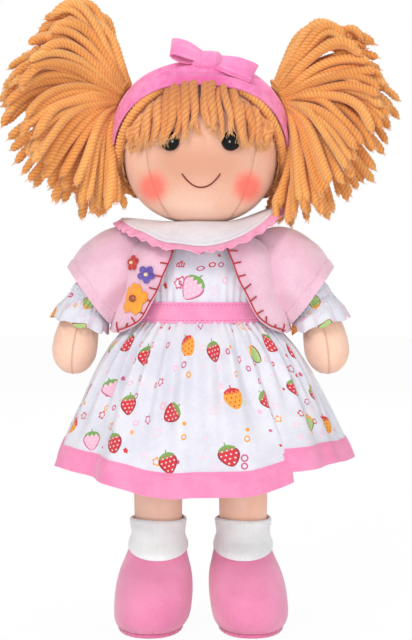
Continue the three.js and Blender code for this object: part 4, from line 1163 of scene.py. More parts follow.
def round_trunk(angle, share, out):
    """A place over the trunk, out from its skin along the way that the skin faces."""
    section = at_share(TRUNK_CURVE, share)
    run = at_share(np.gradient(TRUNK_CURVE, axis=0), share)
    slope = np.maximum(np.hypot(run[:, 0], run[:, 2]), 1e-9)
    aside = out * run[:, 2] / slope
    x, y = oval(angle, section[:, 0] + aside, section[:, 1] + aside, 2.2)
    return np.stack([x, y, TRUNK_FOOT + section[:, 2] - out * run[:, 0] / slope], axis=1)


BODICE_FLAT = (240 * MM, 62 * MM)
BODICE_FOOT = 182 * MM
BODICE_TOP = 0.985
WAISTBAND_FLAT = (240 * MM, 12 * MM)
WAISTBAND_EDGES = (170.6 * MM, 182.4 * MM)
BAND_STITCHES = [1.7 * MM, 10.4 * MM]


def bodice_place(u, v):
    angle = 2 * math.pi * (u - 0.75)
    share = mix(trunk_share(BODICE_FOOT), BODICE_TOP, v)
    puckers = 0.5 * MM * np.cos(44 * angle + 2 * np.sin(6 * angle)) * np.exp(-v / 0.16)
    drape = 0.35 * MM * np.sin(13 * angle + 5 * v) * (1 - v)
    return round_trunk(angle, share, 1.25 * MM + puckers + drape)


def waistband_place(u, v):
    angle = 2 * math.pi * (u - 0.75)
    share = trunk_share(mix(*WAISTBAND_EDGES, v))
    soft = 0.25 * MM * np.sin(17 * angle + 3 * np.sin(4 * angle)) + 0.35 * MM * np.sin(v * math.pi)
    return round_trunk(angle, share, 2.1 * MM + soft)


bodice = cloth_grid("dress_bodice", 260, 60, bodice_place, BODICE_FLAT, axis_hub, 0.7 * MM)
SHOULDERS = [tuple(SHOULDER * (side, 1, 1)) for side in (1, -1)]
ARMHOLE = 17 * MM
cut_away(bodice, *[ball_to_cut(ARMHOLE + 0.3 * MM, place, 24) for place in SHOULDERS])
waistband = cloth_grid("dress_waistband", 260, 12, waistband_place, WAISTBAND_FLAT, axis_hub, 1.2 * MM)
waist_cotton = stitched("waist_cotton", (linear(250, 158, 198), linear(243, 140, 186)), linear(214, 84, 138),
                        0.25 * MM, BAND_STITCHES)
wear(bodice, dress_print)
wear(waistband, waist_cotton)
for piece, node, slot_name in ((bodice, "bodice", "print_cotton"), (waistband, "waistband", "rose_pink")):
    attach(piece, "torso")
    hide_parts(node)
print("bodice faces:", len(bodice.data.polygons))

# %% [markdown]
# Collar and its edging
# The round collar is two layers of white cotton turned inside out, so its edge is soft and full. It stands on
# the neckline, lifts over the shoulders and dips in front. A strip of pink edging, longer than the collar's
# edge, is gathered under it and so waves up and down.

# %% Collar
COLLAR_HALF = np.array([45, 34]) * MM
COLLAR_INNER = 15.5 * MM
COLLAR_SEAT = 220.5 * MM
COLLAR_STAND = 4.8 * MM
COLLAR_FLAT = (255 * MM, 60 * MM)
EDGING_LENGTH = 380 * MM


def collar_at(angle, share, lift):
    c, s = np.cos(angle), np.sin(angle)
    rise = mix(-8.0 * MM, 11.5 * MM, c * c) - COLLAR_STAND + 3.4 * MM * c
    x = mix(COLLAR_INNER, COLLAR_HALF[0], share) * c
    y = mix(COLLAR_INNER, COLLAR_HALF[1], share) * s
    return np.stack([x, y, COLLAR_SEAT + COLLAR_STAND + rise * np.maximum(share, 0) ** 1.3 + lift], axis=1)


def collar_soft(angle):
    """The slight rise and fall of the collar's edge."""
    return 0.45 * MM * np.sin(7 * angle + 2 * np.sin(3 * angle)) + 0.5 * MM * np.sin(3 * angle + 1.1)


def collar_place(u, v):
    angle = 2 * math.pi * (u - 0.75)
    over = v < 0.5
    share = np.where(over, v / 0.5, (1 - v) / 0.5)
    puff = 1.1 * MM * np.sqrt(np.clip(1 - share**6, 0, 1)) * np.where(over, 1, -0.15)
    return collar_at(angle, share, puff + collar_soft(angle) * share + 0.5 * MM)


def trim_place(u, v):
    angle = 2 * math.pi * (u - 0.75)
    lip = collar_at(angle, np.ones_like(u), 0.3 * MM + collar_soft(angle))
    wave = np.sin(34 * angle + 2.5 * np.sin(5 * angle) + 1.5 * np.sin(9 * angle))
    scallop = 0.5 * MM * np.sqrt(np.abs(np.sin(68 * angle))) * ease(0.6, 1, v)
    reach = mix(-1.2 * MM, 3.6 * MM, v) + scallop
    lip[:, 0] += reach * np.cos(angle)
    lip[:, 1] += reach * np.sin(angle)
    lip[:, 2] += 0.7 * MM * wave * ease(0.1, 1, v) - 3.0 * MM * v
    return lip


collar = cloth_grid("round_collar", 240, 60, collar_place, COLLAR_FLAT, axis_hub)
in_edit_mode(collar, bpy.ops.mesh.normals_make_consistent, inside=False)
trim = cloth_grid("collar_edging", 720, 8, trim_place, (EDGING_LENGTH, 6 * MM), (0, 0, 0.19), 0.7 * MM, 0)
collar_cotton = stitched("collar_cotton", (linear(239, 237, 243), linear(223, 222, 232)),
                         linear(220, 220, 230), 0.25 * MM, [27 * MM])
edging_cotton = cotton("edging_cotton", linear(252, 178, 210), linear(246, 154, 196), 0.85, patch=200)
wear(collar, collar_cotton)
wear(trim, edging_cotton)
for piece, node, slot_name in ((collar, "collar", "white_cotton"), (trim, "collar_trim", "rose_pink")):
    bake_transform(piece)
    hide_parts(node)
print("collar faces:", len(collar.data.polygons), "edging faces:", len(trim.data.polygons))

# %% [markdown]
# The jacket
# The jacket is pale fleece that lies loosely over the dress, open in front. Its front edges run down from
# the collar and curve away to the side seams. Each front is a grid whose columns run from the side seam to
# the opening, so the curve of the edge is followed exactly. The armholes are cut with balls a little smaller
# than the sleeves' tops, so each sleeve turns in its armhole and the seam stays closed.

# %% Jacket body
JACKET_HEM = 165 * MM
JACKET_TOP = 0.955
JACKET_NECK = 219 * MM
OPENING = smooth_rows(np.array([
    # half of the opening as a share of the trunk's half width, and the share of the jacket's height
    [1.36, -0.02], [1.03, 0.06], [0.82, 0.16], [0.66, 0.33], [0.5, 0.6], [0.38, 0.85], [0.33, 1.05],
]))
JACKET_OUT = 3.5 * MM
FLEECE = 1.7 * MM
FRONT_FLAT = (48 * MM, 62 * MM)
BACK_FLAT = (120 * MM, 62 * MM)


def opening_half(height):
    """Half the width of the front opening at a height."""
    share = (height - JACKET_HEM) / (JACKET_NECK - JACKET_HEM)
    return TRUNK_HALF[0] * np.interp(share, OPENING[:, 1], OPENING[:, 0])


def jacket_at(angle, share, out):
    """A place on the jacket's shell, loose at the chest and flared over the skirt below the waist."""
    points = round_trunk(angle, share, out)
    height = points[:, 2]
    c, s = np.cos(angle), np.sin(angle)
    flare = ease(190 * MM, 162 * MM, height)
    chest = ease(164 * MM, 182 * MM, height) * ease(JACKET_NECK, 208 * MM, height)
    corner = np.abs(np.sin(2 * angle))
    points[:, 0] += (9.5 * MM * flare + (2.5 + 3.5 * corner) * MM * chest) * c
    points[:, 1] += (6.5 * MM * flare + 3.8 * MM * chest * corner) * s
    return points


def jacket_shares(v):
    return mix(trunk_share(JACKET_HEM), JACKET_TOP, v)


def front_place(side):
    def place(u, v):
        share = jacket_shares(v)
        flat_out = np.full_like(u, JACKET_OUT)
        at_side = jacket_at(np.zeros_like(u), share, flat_out)
        edge = np.clip(opening_half(at_side[:, 2]) / at_side[:, 0], 0, 1)
        stop = np.maximum(np.arccos(edge**1.1), 0.05)
        soft = 0.4 * MM * np.sin(6 * v + 5 * u) + 0.5 * MM * bell(u - 1, 0.12)
        soft = soft + 0.4 * MM * np.sin(13 * u - 3 * v)
        points = jacket_at(-stop * u, share, flat_out + soft)
        points[:, 0] *= side
        return points

    return place


def back_place(u, v):
    angle = math.pi * u
    soft = 0.6 * MM * np.sin(5 * angle + 4 * v) * (1 - v) + 0.3 * MM * np.sin(9 * angle - 5 * v)
    return jacket_at(angle, jacket_shares(v), JACKET_OUT + soft)


def jacket_piece(name, node, columns, place, flat):
    piece = cloth_grid(name, columns, 64, place, flat, axis_hub, FLEECE, 0)
    cut_away(piece, *[ball_to_cut(ARMHOLE, centre, 24) for centre in SHOULDERS])
    modify(piece, "BEVEL", width=0.45 * MM, segments=2, limit_method="ANGLE", angle_limit=math.radians(50))
    smooth(piece)
    wear(piece, jacket_fleece)
    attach(piece, "torso")
    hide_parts(node)
    return piece


jacket_piece("fleece_front_left", "jacket_front_left", 70, front_place(1), FRONT_FLAT)
jacket_piece("fleece_front_right", "jacket_front_right", 70, front_place(-1), FRONT_FLAT)
jacket = jacket_piece("fleece_back", "jacket_back", 150, back_place, BACK_FLAT)
print("jacket back faces:", len(jacket.data.polygons))

# %% [markdown]
# Blanket stitch
# The jacket's edge is worked in red blanket stitch: one thread runs along the edge, and a short leg goes in
# from it every few millimetres. The thread lies on the cloth, so every point of it is moved onto the nearest
# place of the jacket's own surface, and each leg's last point dives into the cloth.

# %% Thread on the jacket
THREAD_STEP = 0.5 * MM
STITCH_LEG = 4.8 * MM


def surface_of(place, steps=90):
    """Places and outward normals all over a surface."""
    u, v = np.meshgrid(np.linspace(0, 1, steps), np.linspace(0, 1, steps))
    u, v = u.ravel(), v.ravel()
    nudge = 0.004
    along = place(np.minimum(u + nudge, 1), v) - place(np.maximum(u - nudge, 0), v)
    up = place(u, np.minimum(v + nudge, 1)) - place(u, np.maximum(v - nudge, 0))
    points = place(u, v)
    normals = unit(np.cross(along, up) + 1e-12)
    facing = np.sign((normals * (points - axis_hub(points))).sum(axis=1))
    return points, normals * facing[:, None]


def lay_on(surface, places, lift):
    """Moves places onto a surface, at a height over it."""
    points, normals = surface
    nearest = ((places[:, None] - points[None]) ** 2).sum(axis=2).argmin(axis=1)
    base, normal = points[nearest], normals[nearest]
    height = ((places - base) * normal).sum(axis=1)
    return places + normal * (lift - height)[:, None]


def blanket_stitch(surface, edge, inwards, gap, leg_length, seed):
    """Paths of a thread along an edge and of the legs that go in from it."""
    chance = np.random.default_rng(seed)
    edge = even_path(edge, THREAD_STEP)
    top = FLEECE / 2 + 0.35 * MM
    along = unit(np.gradient(edge, axis=0))
    wobble = 0.25 * MM * np.sin(np.arange(len(edge)) * 0.16 + seed)
    spine = lay_on(surface, edge + inwards(edge) * wobble[:, None], top - 0.25 * MM)
    paths = [spine]
    stride = int(gap / THREAD_STEP)
    for i in range(stride // 2, len(edge) - 3, stride):
        run = np.linspace(0, 1, 14)
        spot = edge[i : i + 1]
        outwards = lay_on(surface, spot, 1.0)[0] - lay_on(surface, spot, 0.0)[0]
        across = np.cross(outwards, along[i])
        across = across * np.sign(across @ inwards(edge)[i])
        aim = unit((across + chance.uniform(-0.25, 0.25) * along[i])[None])[0]
        line = edge[i] + aim * (run * leg_length * chance.uniform(0.85, 1.15))[:, None]
        paths.append(lay_on(surface, line, top + 0.15 * MM - 1.2 * MM * ease(0.9, 1.0, run)))
    return paths


def sew(name, paths):
    stitches = strands(name, paths, THREAD_RADIUS, 0.35 * MM, plies=2, around=8, pitch=2.2 * MM, depth=0.25)
    wear(stitches, red_thread)
    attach(stitches, "torso")


front_surfaces = {}
for label, side in SIDES:
    front_surfaces[label] = surface_of(front_place(side))
    v = np.linspace(1, 0.0, 120)
    edge = front_place(side)(np.ones_like(v), v)
    inwards = lambda places, side=side: np.tile(unit(np.array([side, 0, 0.8])), (len(places), 1))
    thread = blanket_stitch(front_surfaces[label], edge, inwards, 7.6 * MM, STITCH_LEG, 5 + side)
    sew("front_stitches_" + label, thread)
u = np.linspace(0, 1, 160)
back_edge = back_place(u, np.zeros_like(u))
upwards = lambda places: np.tile([0.0, 0.0, 1.0], (len(places), 1))
thread = blanket_stitch(surface_of(back_place, 110), back_edge, upwards, 6.6 * MM, STITCH_LEG, 9)
sew("back_stitches", thread)
print("stitches on the back's edge:", len(thread) - 1)

# %% [markdown]
# Three sewn flowers
# Two small flowers are crocheted and one larger flower is cut from felt. A petal is a flattened sphere. Five
# of them are set round a centre and bent to the jacket's surface, and a bead or a knot of thread closes the
# middle.

# %% Flowers
def petal_ball(petal, dent):
    """A petal lying flat: long outwards, notched at its tip, and thin."""
    bpy.ops.mesh.primitive_uv_sphere_add(segments=28, ring_count=16, radius=1)
    part = bpy.context.object
    ball = coords(part)
    notch = dent * petal[0] * bell(ball[:, 1], 0.3) * ease(0.2, 1, ball[:, 0])
    ball = ball * petal
    ball[:, 0] -= notch
    return part, ball


def flower(name, node, radius, petal, place, turn, inks, bead, dent):
    surface = front_surfaces["right"]
    parts = []
    for k in range(6):
        if k == 5:
            part, ball = petal_ball((bead, bead, 1.4 * MM), 0)
            ball[:, 2] += 1.5 * MM
        else:
            part, ball = petal_ball(petal, dent)
            ball[:, 0] += radius - petal[0]
            ball[:, 2] += 0.8 * petal[2]
            angle = turn + 2 * math.pi * k / 5
            c, s = math.cos(angle), math.sin(angle)
            ball[:, :2] = ball[:, :2] @ np.array([[c, s], [-s, c]])
        flat = np.stack([place[0] + ball[:, 0], np.full(len(ball), -24 * MM), place[1] + ball[:, 1]], axis=1)
        flat[:, 1] = lay_on(surface, lay_on(surface, flat, 0), 0)[:, 1]
        base = lay_on(surface, flat, 0)
        out = lay_on(surface, flat, 1.0) - base
        set_coords(part, base + out * (FLEECE / 2 + ball[:, 2:3]))
        wear(part, inks[1] if k == 5 else inks[0])
        parts.append(part)
    for part in parts:
        part.select_set(True)
    bpy.context.view_layer.objects.active = parts[0]
    bpy.ops.object.join()
    whole = bpy.context.object
    whole.name = name
    in_edit_mode(whole, bpy.ops.mesh.normals_make_consistent, inside=False)
    smooth(whole, 80)
    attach(whole, "torso")
    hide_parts(node)


red_wool = fleece("red_wool", linear(214, 44, 40), linear(178, 26, 28), 1100, 0.4 * MM, 0.4, 300)
violet_wool = fleece("violet_wool", linear(112, 84, 182), linear(84, 58, 150), 1100, 0.4 * MM, 0.4, 300)
orange_felt = fleece("orange_felt", linear(252, 170, 34), linear(240, 144, 20), 1500, 0.15 * MM, 0.4, 200)
pale_knot = fleece("pale_knot", linear(250, 232, 190), linear(236, 206, 140), 1500, 0.2 * MM, 0.3, 300)
brown_bead = Finish("brown_bead", linear(138, 56, 18), 0.25, Coat_Weight=0.5)
bead_noise = brown_bead.noise(brown_bead.coordinate(), 500, 2)
brown_bead.colour(brown_bead.blend(bead_noise, linear(110, 38, 14), linear(178, 84, 30)))
flower("flower_of_red_wool", "flower_red", 4.7 * MM, (2.0 * MM, 1.8 * MM, 1.2 * MM),
       (-38 * MM, 204 * MM), 0.3, (red_wool, pale_knot), 1.0 * MM, 0)
flower("flower_of_violet_wool", "flower_violet", 5.0 * MM, (2.2 * MM, 1.9 * MM, 1.1 * MM),
       (-29 * MM, 197.5 * MM), 0.95, (violet_wool, pale_knot), 1.1 * MM, 0)
flower("flower_of_orange_felt", "flower_orange", 9.4 * MM, (4.5 * MM, 3.9 * MM, 0.9 * MM),
       (-36.5 * MM, 184 * MM), 0.1, (orange_felt, brown_bead), 2.2 * MM, 0.22)
print("flowers are sewn on")

# %% [markdown]
# Sleeves
# The jacket's short sleeve is a ball over the shoulder that opens into a wide mouth, so it turns in the
# armhole without pulling. Below it the dress sleeve is drawn in by elastic and then flares in a frill.

# %% Jacket sleeves
SLEEVE_LEAN = math.radians(50)
SLEEVE_WIDTH = 120 * MM
CAP_SHARE = 0.45


def sleeve_place(side):
    """A full top that rounds over the shoulder, a close underside, and a turned cuff."""
    down = np.array([side * math.sin(SLEEVE_LEAN), 0, -math.cos(SLEEVE_LEAN)])
    across = np.array([side * math.cos(SLEEVE_LEAN), 0, math.sin(SLEEVE_LEAN)])

    def place(u, v):
        angle = 2 * math.pi * u
        c = np.cos(angle)
        cap = np.clip(1 - v / CAP_SHARE, 0, 1) * math.pi / 2
        run = np.clip((v - CAP_SHARE) / (1 - CAP_SHARE), 0, 1)
        top = np.interp(run, [0, 0.3, 0.6, 1], [22.6, 22.0, 20.6, 18.6]) * MM
        under = np.interp(run, [0, 0.4, 1], [16.2, 16.0, 17.6]) * MM
        front = np.interp(run, [0, 0.5, 1], [18.0, 19.2, 18.8]) * MM
        radius = front + (top - under) / 2 * c + ((top + under) / 2 - front) * c * c
        fold = 1.0 * MM * np.sin(3 * angle + 1.1 + 2.2 * run) + 0.6 * MM * np.sin(7 * angle + 3 * run)
        crease = -1.1 * MM * bell(np.sin(angle) + 0.72, 0.2) * ease(-0.1, 0.5, run) * ease(1.1, 0.5, run)
        cuff = 0.45 * MM * ease(0.74, 0.8, run) - 0.5 * MM * bell(run - 0.735, 0.025)
        radius = (radius + (fold + crease) * ease(-0.4, 0.5, run) + cuff) * np.cos(cap) ** 0.8
        reach = np.where(v < CAP_SHARE, -(17.5 + 6.5 * np.maximum(c, 0)) * MM * np.sin(cap),
                         run * (21.5 - 1.4 * c) * MM)
        ring = ring_about(across, angle) * radius[:, None]
        return SHOULDER * (side, 1, 1) + down * reach[:, None] + ring

    return place


HOLE_RISE = math.radians(22.5)


def bar_to_cut(radius, start, direction, length):
    bpy.ops.mesh.primitive_cylinder_add(vertices=48, radius=radius, depth=length)
    cutter = bpy.context.object
    cutter.rotation_euler = Vector(direction).to_track_quat("Z", "Y").to_euler()
    cutter.location = Vector(start) + Vector(direction).normalized() * length / 2
    bpy.ops.object.transform_apply(location=True, rotation=True, scale=True)
    return cutter


for label, side in SIDES:
    joint = SHOULDER * (side, 1, 1)
    sleeve = cloth_grid("fleece_sleeve_" + label, 120, 60, sleeve_place(side), (SLEEVE_WIDTH, 50 * MM),
                        joint, 1.6 * MM, 0)
    hole = (-side * math.cos(HOLE_RISE), 0, math.sin(HOLE_RISE))
    cut_away(sleeve, bar_to_cut(11.7 * MM, joint, hole, 60 * MM))
    modify(sleeve, "BEVEL", width=0.45 * MM, segments=2, limit_method="ANGLE", angle_limit=math.radians(50))
    smooth(sleeve)
    wear(sleeve, jacket_fleece)
    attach(sleeve, "arm_" + label)
    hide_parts("jacket_sleeve_" + label)
print("sleeve faces:", len(sleeve.data.polygons))

# %% Dress sleeves
FRILL_FLAT = (120 * MM, 38 * MM)
ELASTIC_AT = 0.45


def frill_place(side):
    def place(u, v):
        angle = 2 * math.pi * u
        share = mix(0.22, 0.6, v)
        middle, _, across = arm_frame(side, share)
        radius = np.interp(v, [0, 0.35, 0.45, 0.55, 0.75, 1], [12.2, 12.4, 11.9, 12.6, 15.2, 16.3]) * MM
        drawn = bell(v - ELASTIC_AT, 0.16)
        pleats = 0.5 * MM * np.cos(34 * angle + 2 * np.sin(5 * angle)) * drawn
        rows = 0.25 * MM * np.cos(v * 90) * bell(v - 0.42, 0.12)
        frill = (0.95 * np.cos(8 * angle + 0.7) + 0.5 * np.cos(13 * angle)) * MM * ease(0.5, 1, v)
        radius = radius + pleats + rows + frill
        middle = middle + np.array([[0, 0, -1]]) * (0.8 * MM * np.cos(8 * angle) * v)[:, None]
        return middle + ring_about(across, angle) * radius[:, None]

    return place


for label, side in SIDES:
    hub = lambda points, side=side: np.array([side * 65, 0, 178]) * MM + 0 * points
    frill = cloth_grid("frill_sleeve_" + label, 240, 44, frill_place(side), FRILL_FLAT, hub, 0.6 * MM)
    wear(frill, dress_print)
    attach(frill, "arm_" + label)
    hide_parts("dress_sleeve_" + label)
print("sleeves are on")

# %% [markdown]
# Hair on the head
# The yarn is stitched down along a middle parting and along the lower edge of the hair, and every strand is
# drawn over the head to the root of a bunch. A thin cap of the same colour lies under the strands, as the
# wig's backing does, so no skin shows between them. Each strand's path is an arc on the head's own surface.

# %% Backing of the wig
HAIR_LIFT = 2.5 * MM
YARN = 2.25 * MM
FACE_MIDDLE = 259.5 * MM
FACE_HALF = (42.6 * MM, 42 * MM)
NAPE = 238.7 * MM


def hairline(angle, share=1.0, lift=0.0):
    x = share * FACE_HALF[0] * np.sin(angle)
    z = FACE_MIDDLE + share * FACE_HALF[1] * np.cos(angle)
    return face_place(x, z, lift)


bpy.ops.mesh.primitive_uv_sphere_add(segments=96, ring_count=64, radius=1)
backing = bpy.context.object
backing.name = "wig_backing"
rays = coords(backing)
set_coords(backing, on_head(rays, 1.3 * MM))
only(backing)
bpy.ops.object.mode_set(mode="EDIT")
bpy.ops.mesh.select_all(action="DESELECT")
bpy.ops.object.mode_set(mode="OBJECT")
for face in backing.data.polygons:
    x, y, z = face.center
    in_oval = (x / FACE_HALF[0]) ** 2 + ((z - FACE_MIDDLE) / FACE_HALF[1]) ** 2 < 1.0
    below = z < 246 * MM and abs(x) < 42 * MM
    face.select = z < NAPE + 1.5 * MM or (y < 0 and (in_oval or below))
bpy.ops.object.mode_set(mode="EDIT")
bpy.ops.mesh.delete(type="FACE")
bpy.ops.object.mode_set(mode="OBJECT")
modify(backing, "SOLIDIFY", thickness=0.8 * MM, offset=1)
smooth(backing)
backing_cotton = cotton("backing_cotton", linear(206, 140, 74), linear(180, 112, 54), 0.95, source="Object")
wear(backing, backing_cotton)
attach(backing, "head")
print("backing faces:", len(backing.data.polygons))

# %% Strands from the parting and the lower edge to each bunch
BUNCH_WAY = unit(np.array([0.81, 0.03, 0.585]))
WIG_GAP = 4.1 * MM


def bunch_root(side):
    way = BUNCH_WAY * (side, 1, 1)
    return on_head(way[None], 5 * MM)[0] + way * 3 * MM


def wig_starts(side):
    """Directions from the head's middle along the edge of one half of the hair."""
    parting = [(side * 0.02, -math.cos(a), math.sin(a)) for a in np.radians(np.linspace(58, 218, 60))]
    rim = [(side * math.sin(a), math.cos(a), -0.78) for a in np.radians(np.linspace(3, 84, 30))]
    temple = unit(hairline(side * np.radians(np.linspace(108, 62, 20)), 1.07) - HEAD_MIDDLE)
    rim_places = on_head(unit(np.array(rim) * (1, 1, 0.9)))
    places = np.vstack([on_head(np.array(parting)), rim_places, on_head(temple)])
    return even_path(places, WIG_GAP)


def wig_paths(side, chance):
    root = bunch_root(side)
    goal = unit(root - HEAD_MIDDLE)
    paths = []
    for start in wig_starts(side):
        way = unit(start - HEAD_MIDDLE)
        angle = math.acos(np.clip(way @ goal, -1, 1))
        t = np.linspace(0, 0.985, 40)[:, None]
        arc = (np.sin((1 - t) * angle) * way + np.sin(t * angle) * goal) / math.sin(angle)
        aside = unit(np.cross(way, goal))
        arc = arc + aside * (chance.uniform(-0.03, 0.03) * np.sin(math.pi * t))
        t = t[:, 0]
        lift = HAIR_LIFT + 1.6 * MM * ease(0.55, 1, t) + chance.uniform(-0.3, 0.3) * MM
        lift = lift - 2.6 * MM * ease(0.07, 0, t)
        paths.append(on_head(arc, lift))
    return paths


chance = np.random.default_rng(11)
wig_lines = [path for side in (1, -1) for path in wig_paths(side, chance)]
wig = strands("wig_strands", wig_lines, YARN, 0.9 * MM, around=8, pitch=YARN_TWIST, depth=0.16,
              thin=lambda run: mix(1.0, 0.62, ease(0.6, 1, run)), uneven=0.08)
parting = np.array([(0.0, -math.cos(a), math.sin(a)) for a in np.radians(np.linspace(60, 218, 90))])
parting_lift = 3.2 * MM + 0.5 * MM * np.sin(np.arange(90) * 1.1)
seam = strands("parting_seam", [on_head(parting, parting_lift)], 1.0 * MM, 0.5 * MM, plies=2, around=10,
               pitch=3.2 * MM, depth=0.3)
for piece in (wig, seam):
    wear(piece, hair_yarn)
    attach(piece, "head")
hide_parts("hair_cap")
print("wig strands:", len(wig_lines), "faces:", len(wig.data.polygons))

# %% [markdown]
# The roll round the face and the fringe
# A roll of tightly turned yarn frames the face and hides the edge of the wig. The fringe comes out from under
# it: strands side by side, a little uneven, that thin out where their cut ends have begun to untwist.

# %% Face roll and fringe
ROLL_REACH = 112
ROLL_RADIUS = 2.7 * MM
turn = np.radians(np.linspace(-ROLL_REACH, ROLL_REACH, 160))
roll_lift = mix(0.6 * MM, 2.95 * MM, ease(math.radians(16), math.radians(34), np.abs(turn)))
roll = strands("face_roll", [hairline(turn, 1.0, roll_lift)], ROLL_RADIUS, 0.4 * MM, plies=2, around=14,
               pitch=4.2 * MM, depth=0.26)
wear(roll, hair_yarn)
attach(roll, "head")
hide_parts("face_braid")


FRINGE_YARN = 2.4 * MM


def fringe_yarn():
    """Hair yarn that is darker where the headband and the roll shade it."""
    finish = yarn_finish("fringe_yarn", linear(196, 112, 50), linear(228, 146, 80), linear(252, 192, 122),
                         pitch=FRINGE_TWIST)
    _, _, z = finish.parts(finish.coordinate("Object"))
    shade = finish.times(finish.band(z, 281 * MM, 302 * MM), 0.55)
    finish.colour(finish.blend(shade, finish.tone, linear(176, 96, 44)))
    return finish


def fringe_tip(across):
    """The height over the eyes at which the fringe ends, lower at the sides than over the nose."""
    return EYE_LEVEL + mix(7.2, -1.4, np.clip(abs(across) * 1.9, 0, 1)) * MM + 1.5 * MM * abs(across) ** 4


def fringe_paths(count, depth, chance):
    """Strands that hang from the hairline and spread; those in the middle begin under the headband."""
    paths = []
    for i in range(count):
        across = mix(-1, 1, (i + 0.5) / count) + chance.uniform(-0.3, 0.3) / count
        middle = ease(0.46, 0.3, abs(across))
        top = hairline(across * math.radians(66), mix(0.93, 1.0, middle))
        low = min(fringe_tip(across) + chance.uniform(-3.2, 2.4) * MM, top[2] - 5 * MM)
        x_tip = top[0] * mix(1.34, 1.0, abs(across)) + chance.uniform(-2.6, 2.6) * MM
        run = np.linspace(0, 1, 30)
        sway = chance.uniform(-1, 1) * np.sin(math.pi * run)
        sway = sway + chance.uniform(-0.8, 0.8) * np.sin(2 * math.pi * run)
        x = mix(top[0], x_tip, run**1.2) + 1.3 * MM * sway
        z = mix(top[2], low, run)
        eye_near = np.hypot(np.abs(x) - EYE_GAP / 2, z - EYE_LEVEL)
        lift = depth + 0.9 * MM * np.sin(math.pi * run) + 3.4 * MM * bell(eye_near, 6 * MM)
        lift = lift + 1.2 * MM * middle * bell(run - 0.3, 0.18)
        lift = lift - 2.6 * MM * (1 - middle) * ease(0.3, 0.0, run)
        paths.append(face_place(x, z, lift))
    return paths


def frayed(run):
    return mix(1.0, 0.5, ease(0.5, 1.0, run)) * mix(0.85, 1.0, ease(0, 0.2, run))


def fray_paths(path, count, chance, tip_share, past=4.2 * MM):
    """Loose fibres that leave a strand, a share of them near its cut end, and spread."""
    path = even_path(path, 0.5 * MM)
    tip, before = path[-1], path[-2]
    on = unit((tip - before)[None])[0]
    paths = []
    for _ in range(count):
        back = int(chance.uniform(2, 14) if chance.uniform() < tip_share else chance.uniform(15, 50))
        back = min(back, len(path))
        start = path[-back] + chance.uniform(-1.6, 1.6, 3) * MM * (1, 0.7, 0.3)
        aside = np.array([chance.normal() * 0.45, chance.uniform(-0.3, 0.15), 0]) * past
        end = aside + (tip + on * chance.uniform(0.1, 1) * past if back < 15 else path[13 - back])
        paths.append(bezier(start, mix(start, end, 0.4) - aside * 0.3, mix(start, end, 0.75), end, 12))
    return paths


chance = np.random.default_rng(21)
fringe_lines = fringe_paths(20, 3.0 * MM, chance) + fringe_paths(22, 1.5 * MM, chance)
fringe = strands("fringe_strands", fringe_lines, FRINGE_YARN, 0.55 * MM, around=12, pitch=FRINGE_TWIST,
                 depth=0.11, thin=frayed, uneven=0.2)
fray_lines = [fibre for path in fringe_lines for fibre in fray_paths(path, 34, chance, 0.66)]
frays = strands("fringe_fibres", fray_lines, 0.2 * MM, 0.9 * MM, plies=0, around=4,
                thin=lambda run: mix(1.0, 0.5, run), uneven=0.3)
wear(fringe, fringe_yarn())
wear(frays, pale_fibre)
for piece in (fringe, frays):
    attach(piece, "head")
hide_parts("fringe")
print("fringe strands:", len(fringe_lines), "loose fibres:", len(fray_lines))

# %% [markdown]
# The two bunches
# Each bunch is well over a hundred strands tied at the root. They spring out the way the tie points, then
# turn to their own direction and droop under their weight. A strand's direction is a rise in the front view
# and a turn forwards or back. The front and back layers have the most strands, so the bunch looks closed, and
# the layers between them fill it. Where a strand would pass through the head it is moved out to the hair's
# surface.

# %% Bunches of yarn
RISE_MIDDLE = {1: math.radians(-21), -1: math.radians(-7)}
RISE_HALF = math.radians(73)
TURN_HALF = math.radians(37)
REACHES = (45 * MM, 70 * MM, 72 * MM)
HAIR_CLEAR = 7.4 * MM
BUNCH_YARN = 2.6 * MM
# where each layer lies, from -1 in front to 1 at the back, and how many strands it has
LAYERS = ((-1.0, 41), (-0.5, 19), (0.0, 17), (0.5, 17), (1.0, 35))
LOWEST = {1: (-70, -84), -1: (-76, -92)}
STRAY_SHARE = 0.2
TIE_RADIUS = 6.6 * MM


def bunch_reach(rise, side):
    share = np.clip((RISE_MIDDLE[side] + RISE_HALF - rise) / (2 * RISE_HALF), 0, 1)
    bulge = REACHES[1] - (REACHES[0] + REACHES[2]) / 2
    return mix(REACHES[0], REACHES[2], share) + 4 * share * (1 - share) * bulge


def clear_of_head(points, lift):
    for _ in range(8):
        level = head_level(points, np.full(len(points), lift))
        push = np.clip(1 - level, 0, 1)[:, None] * 9 * MM
        points = points + head_normal(points) * push
    return points


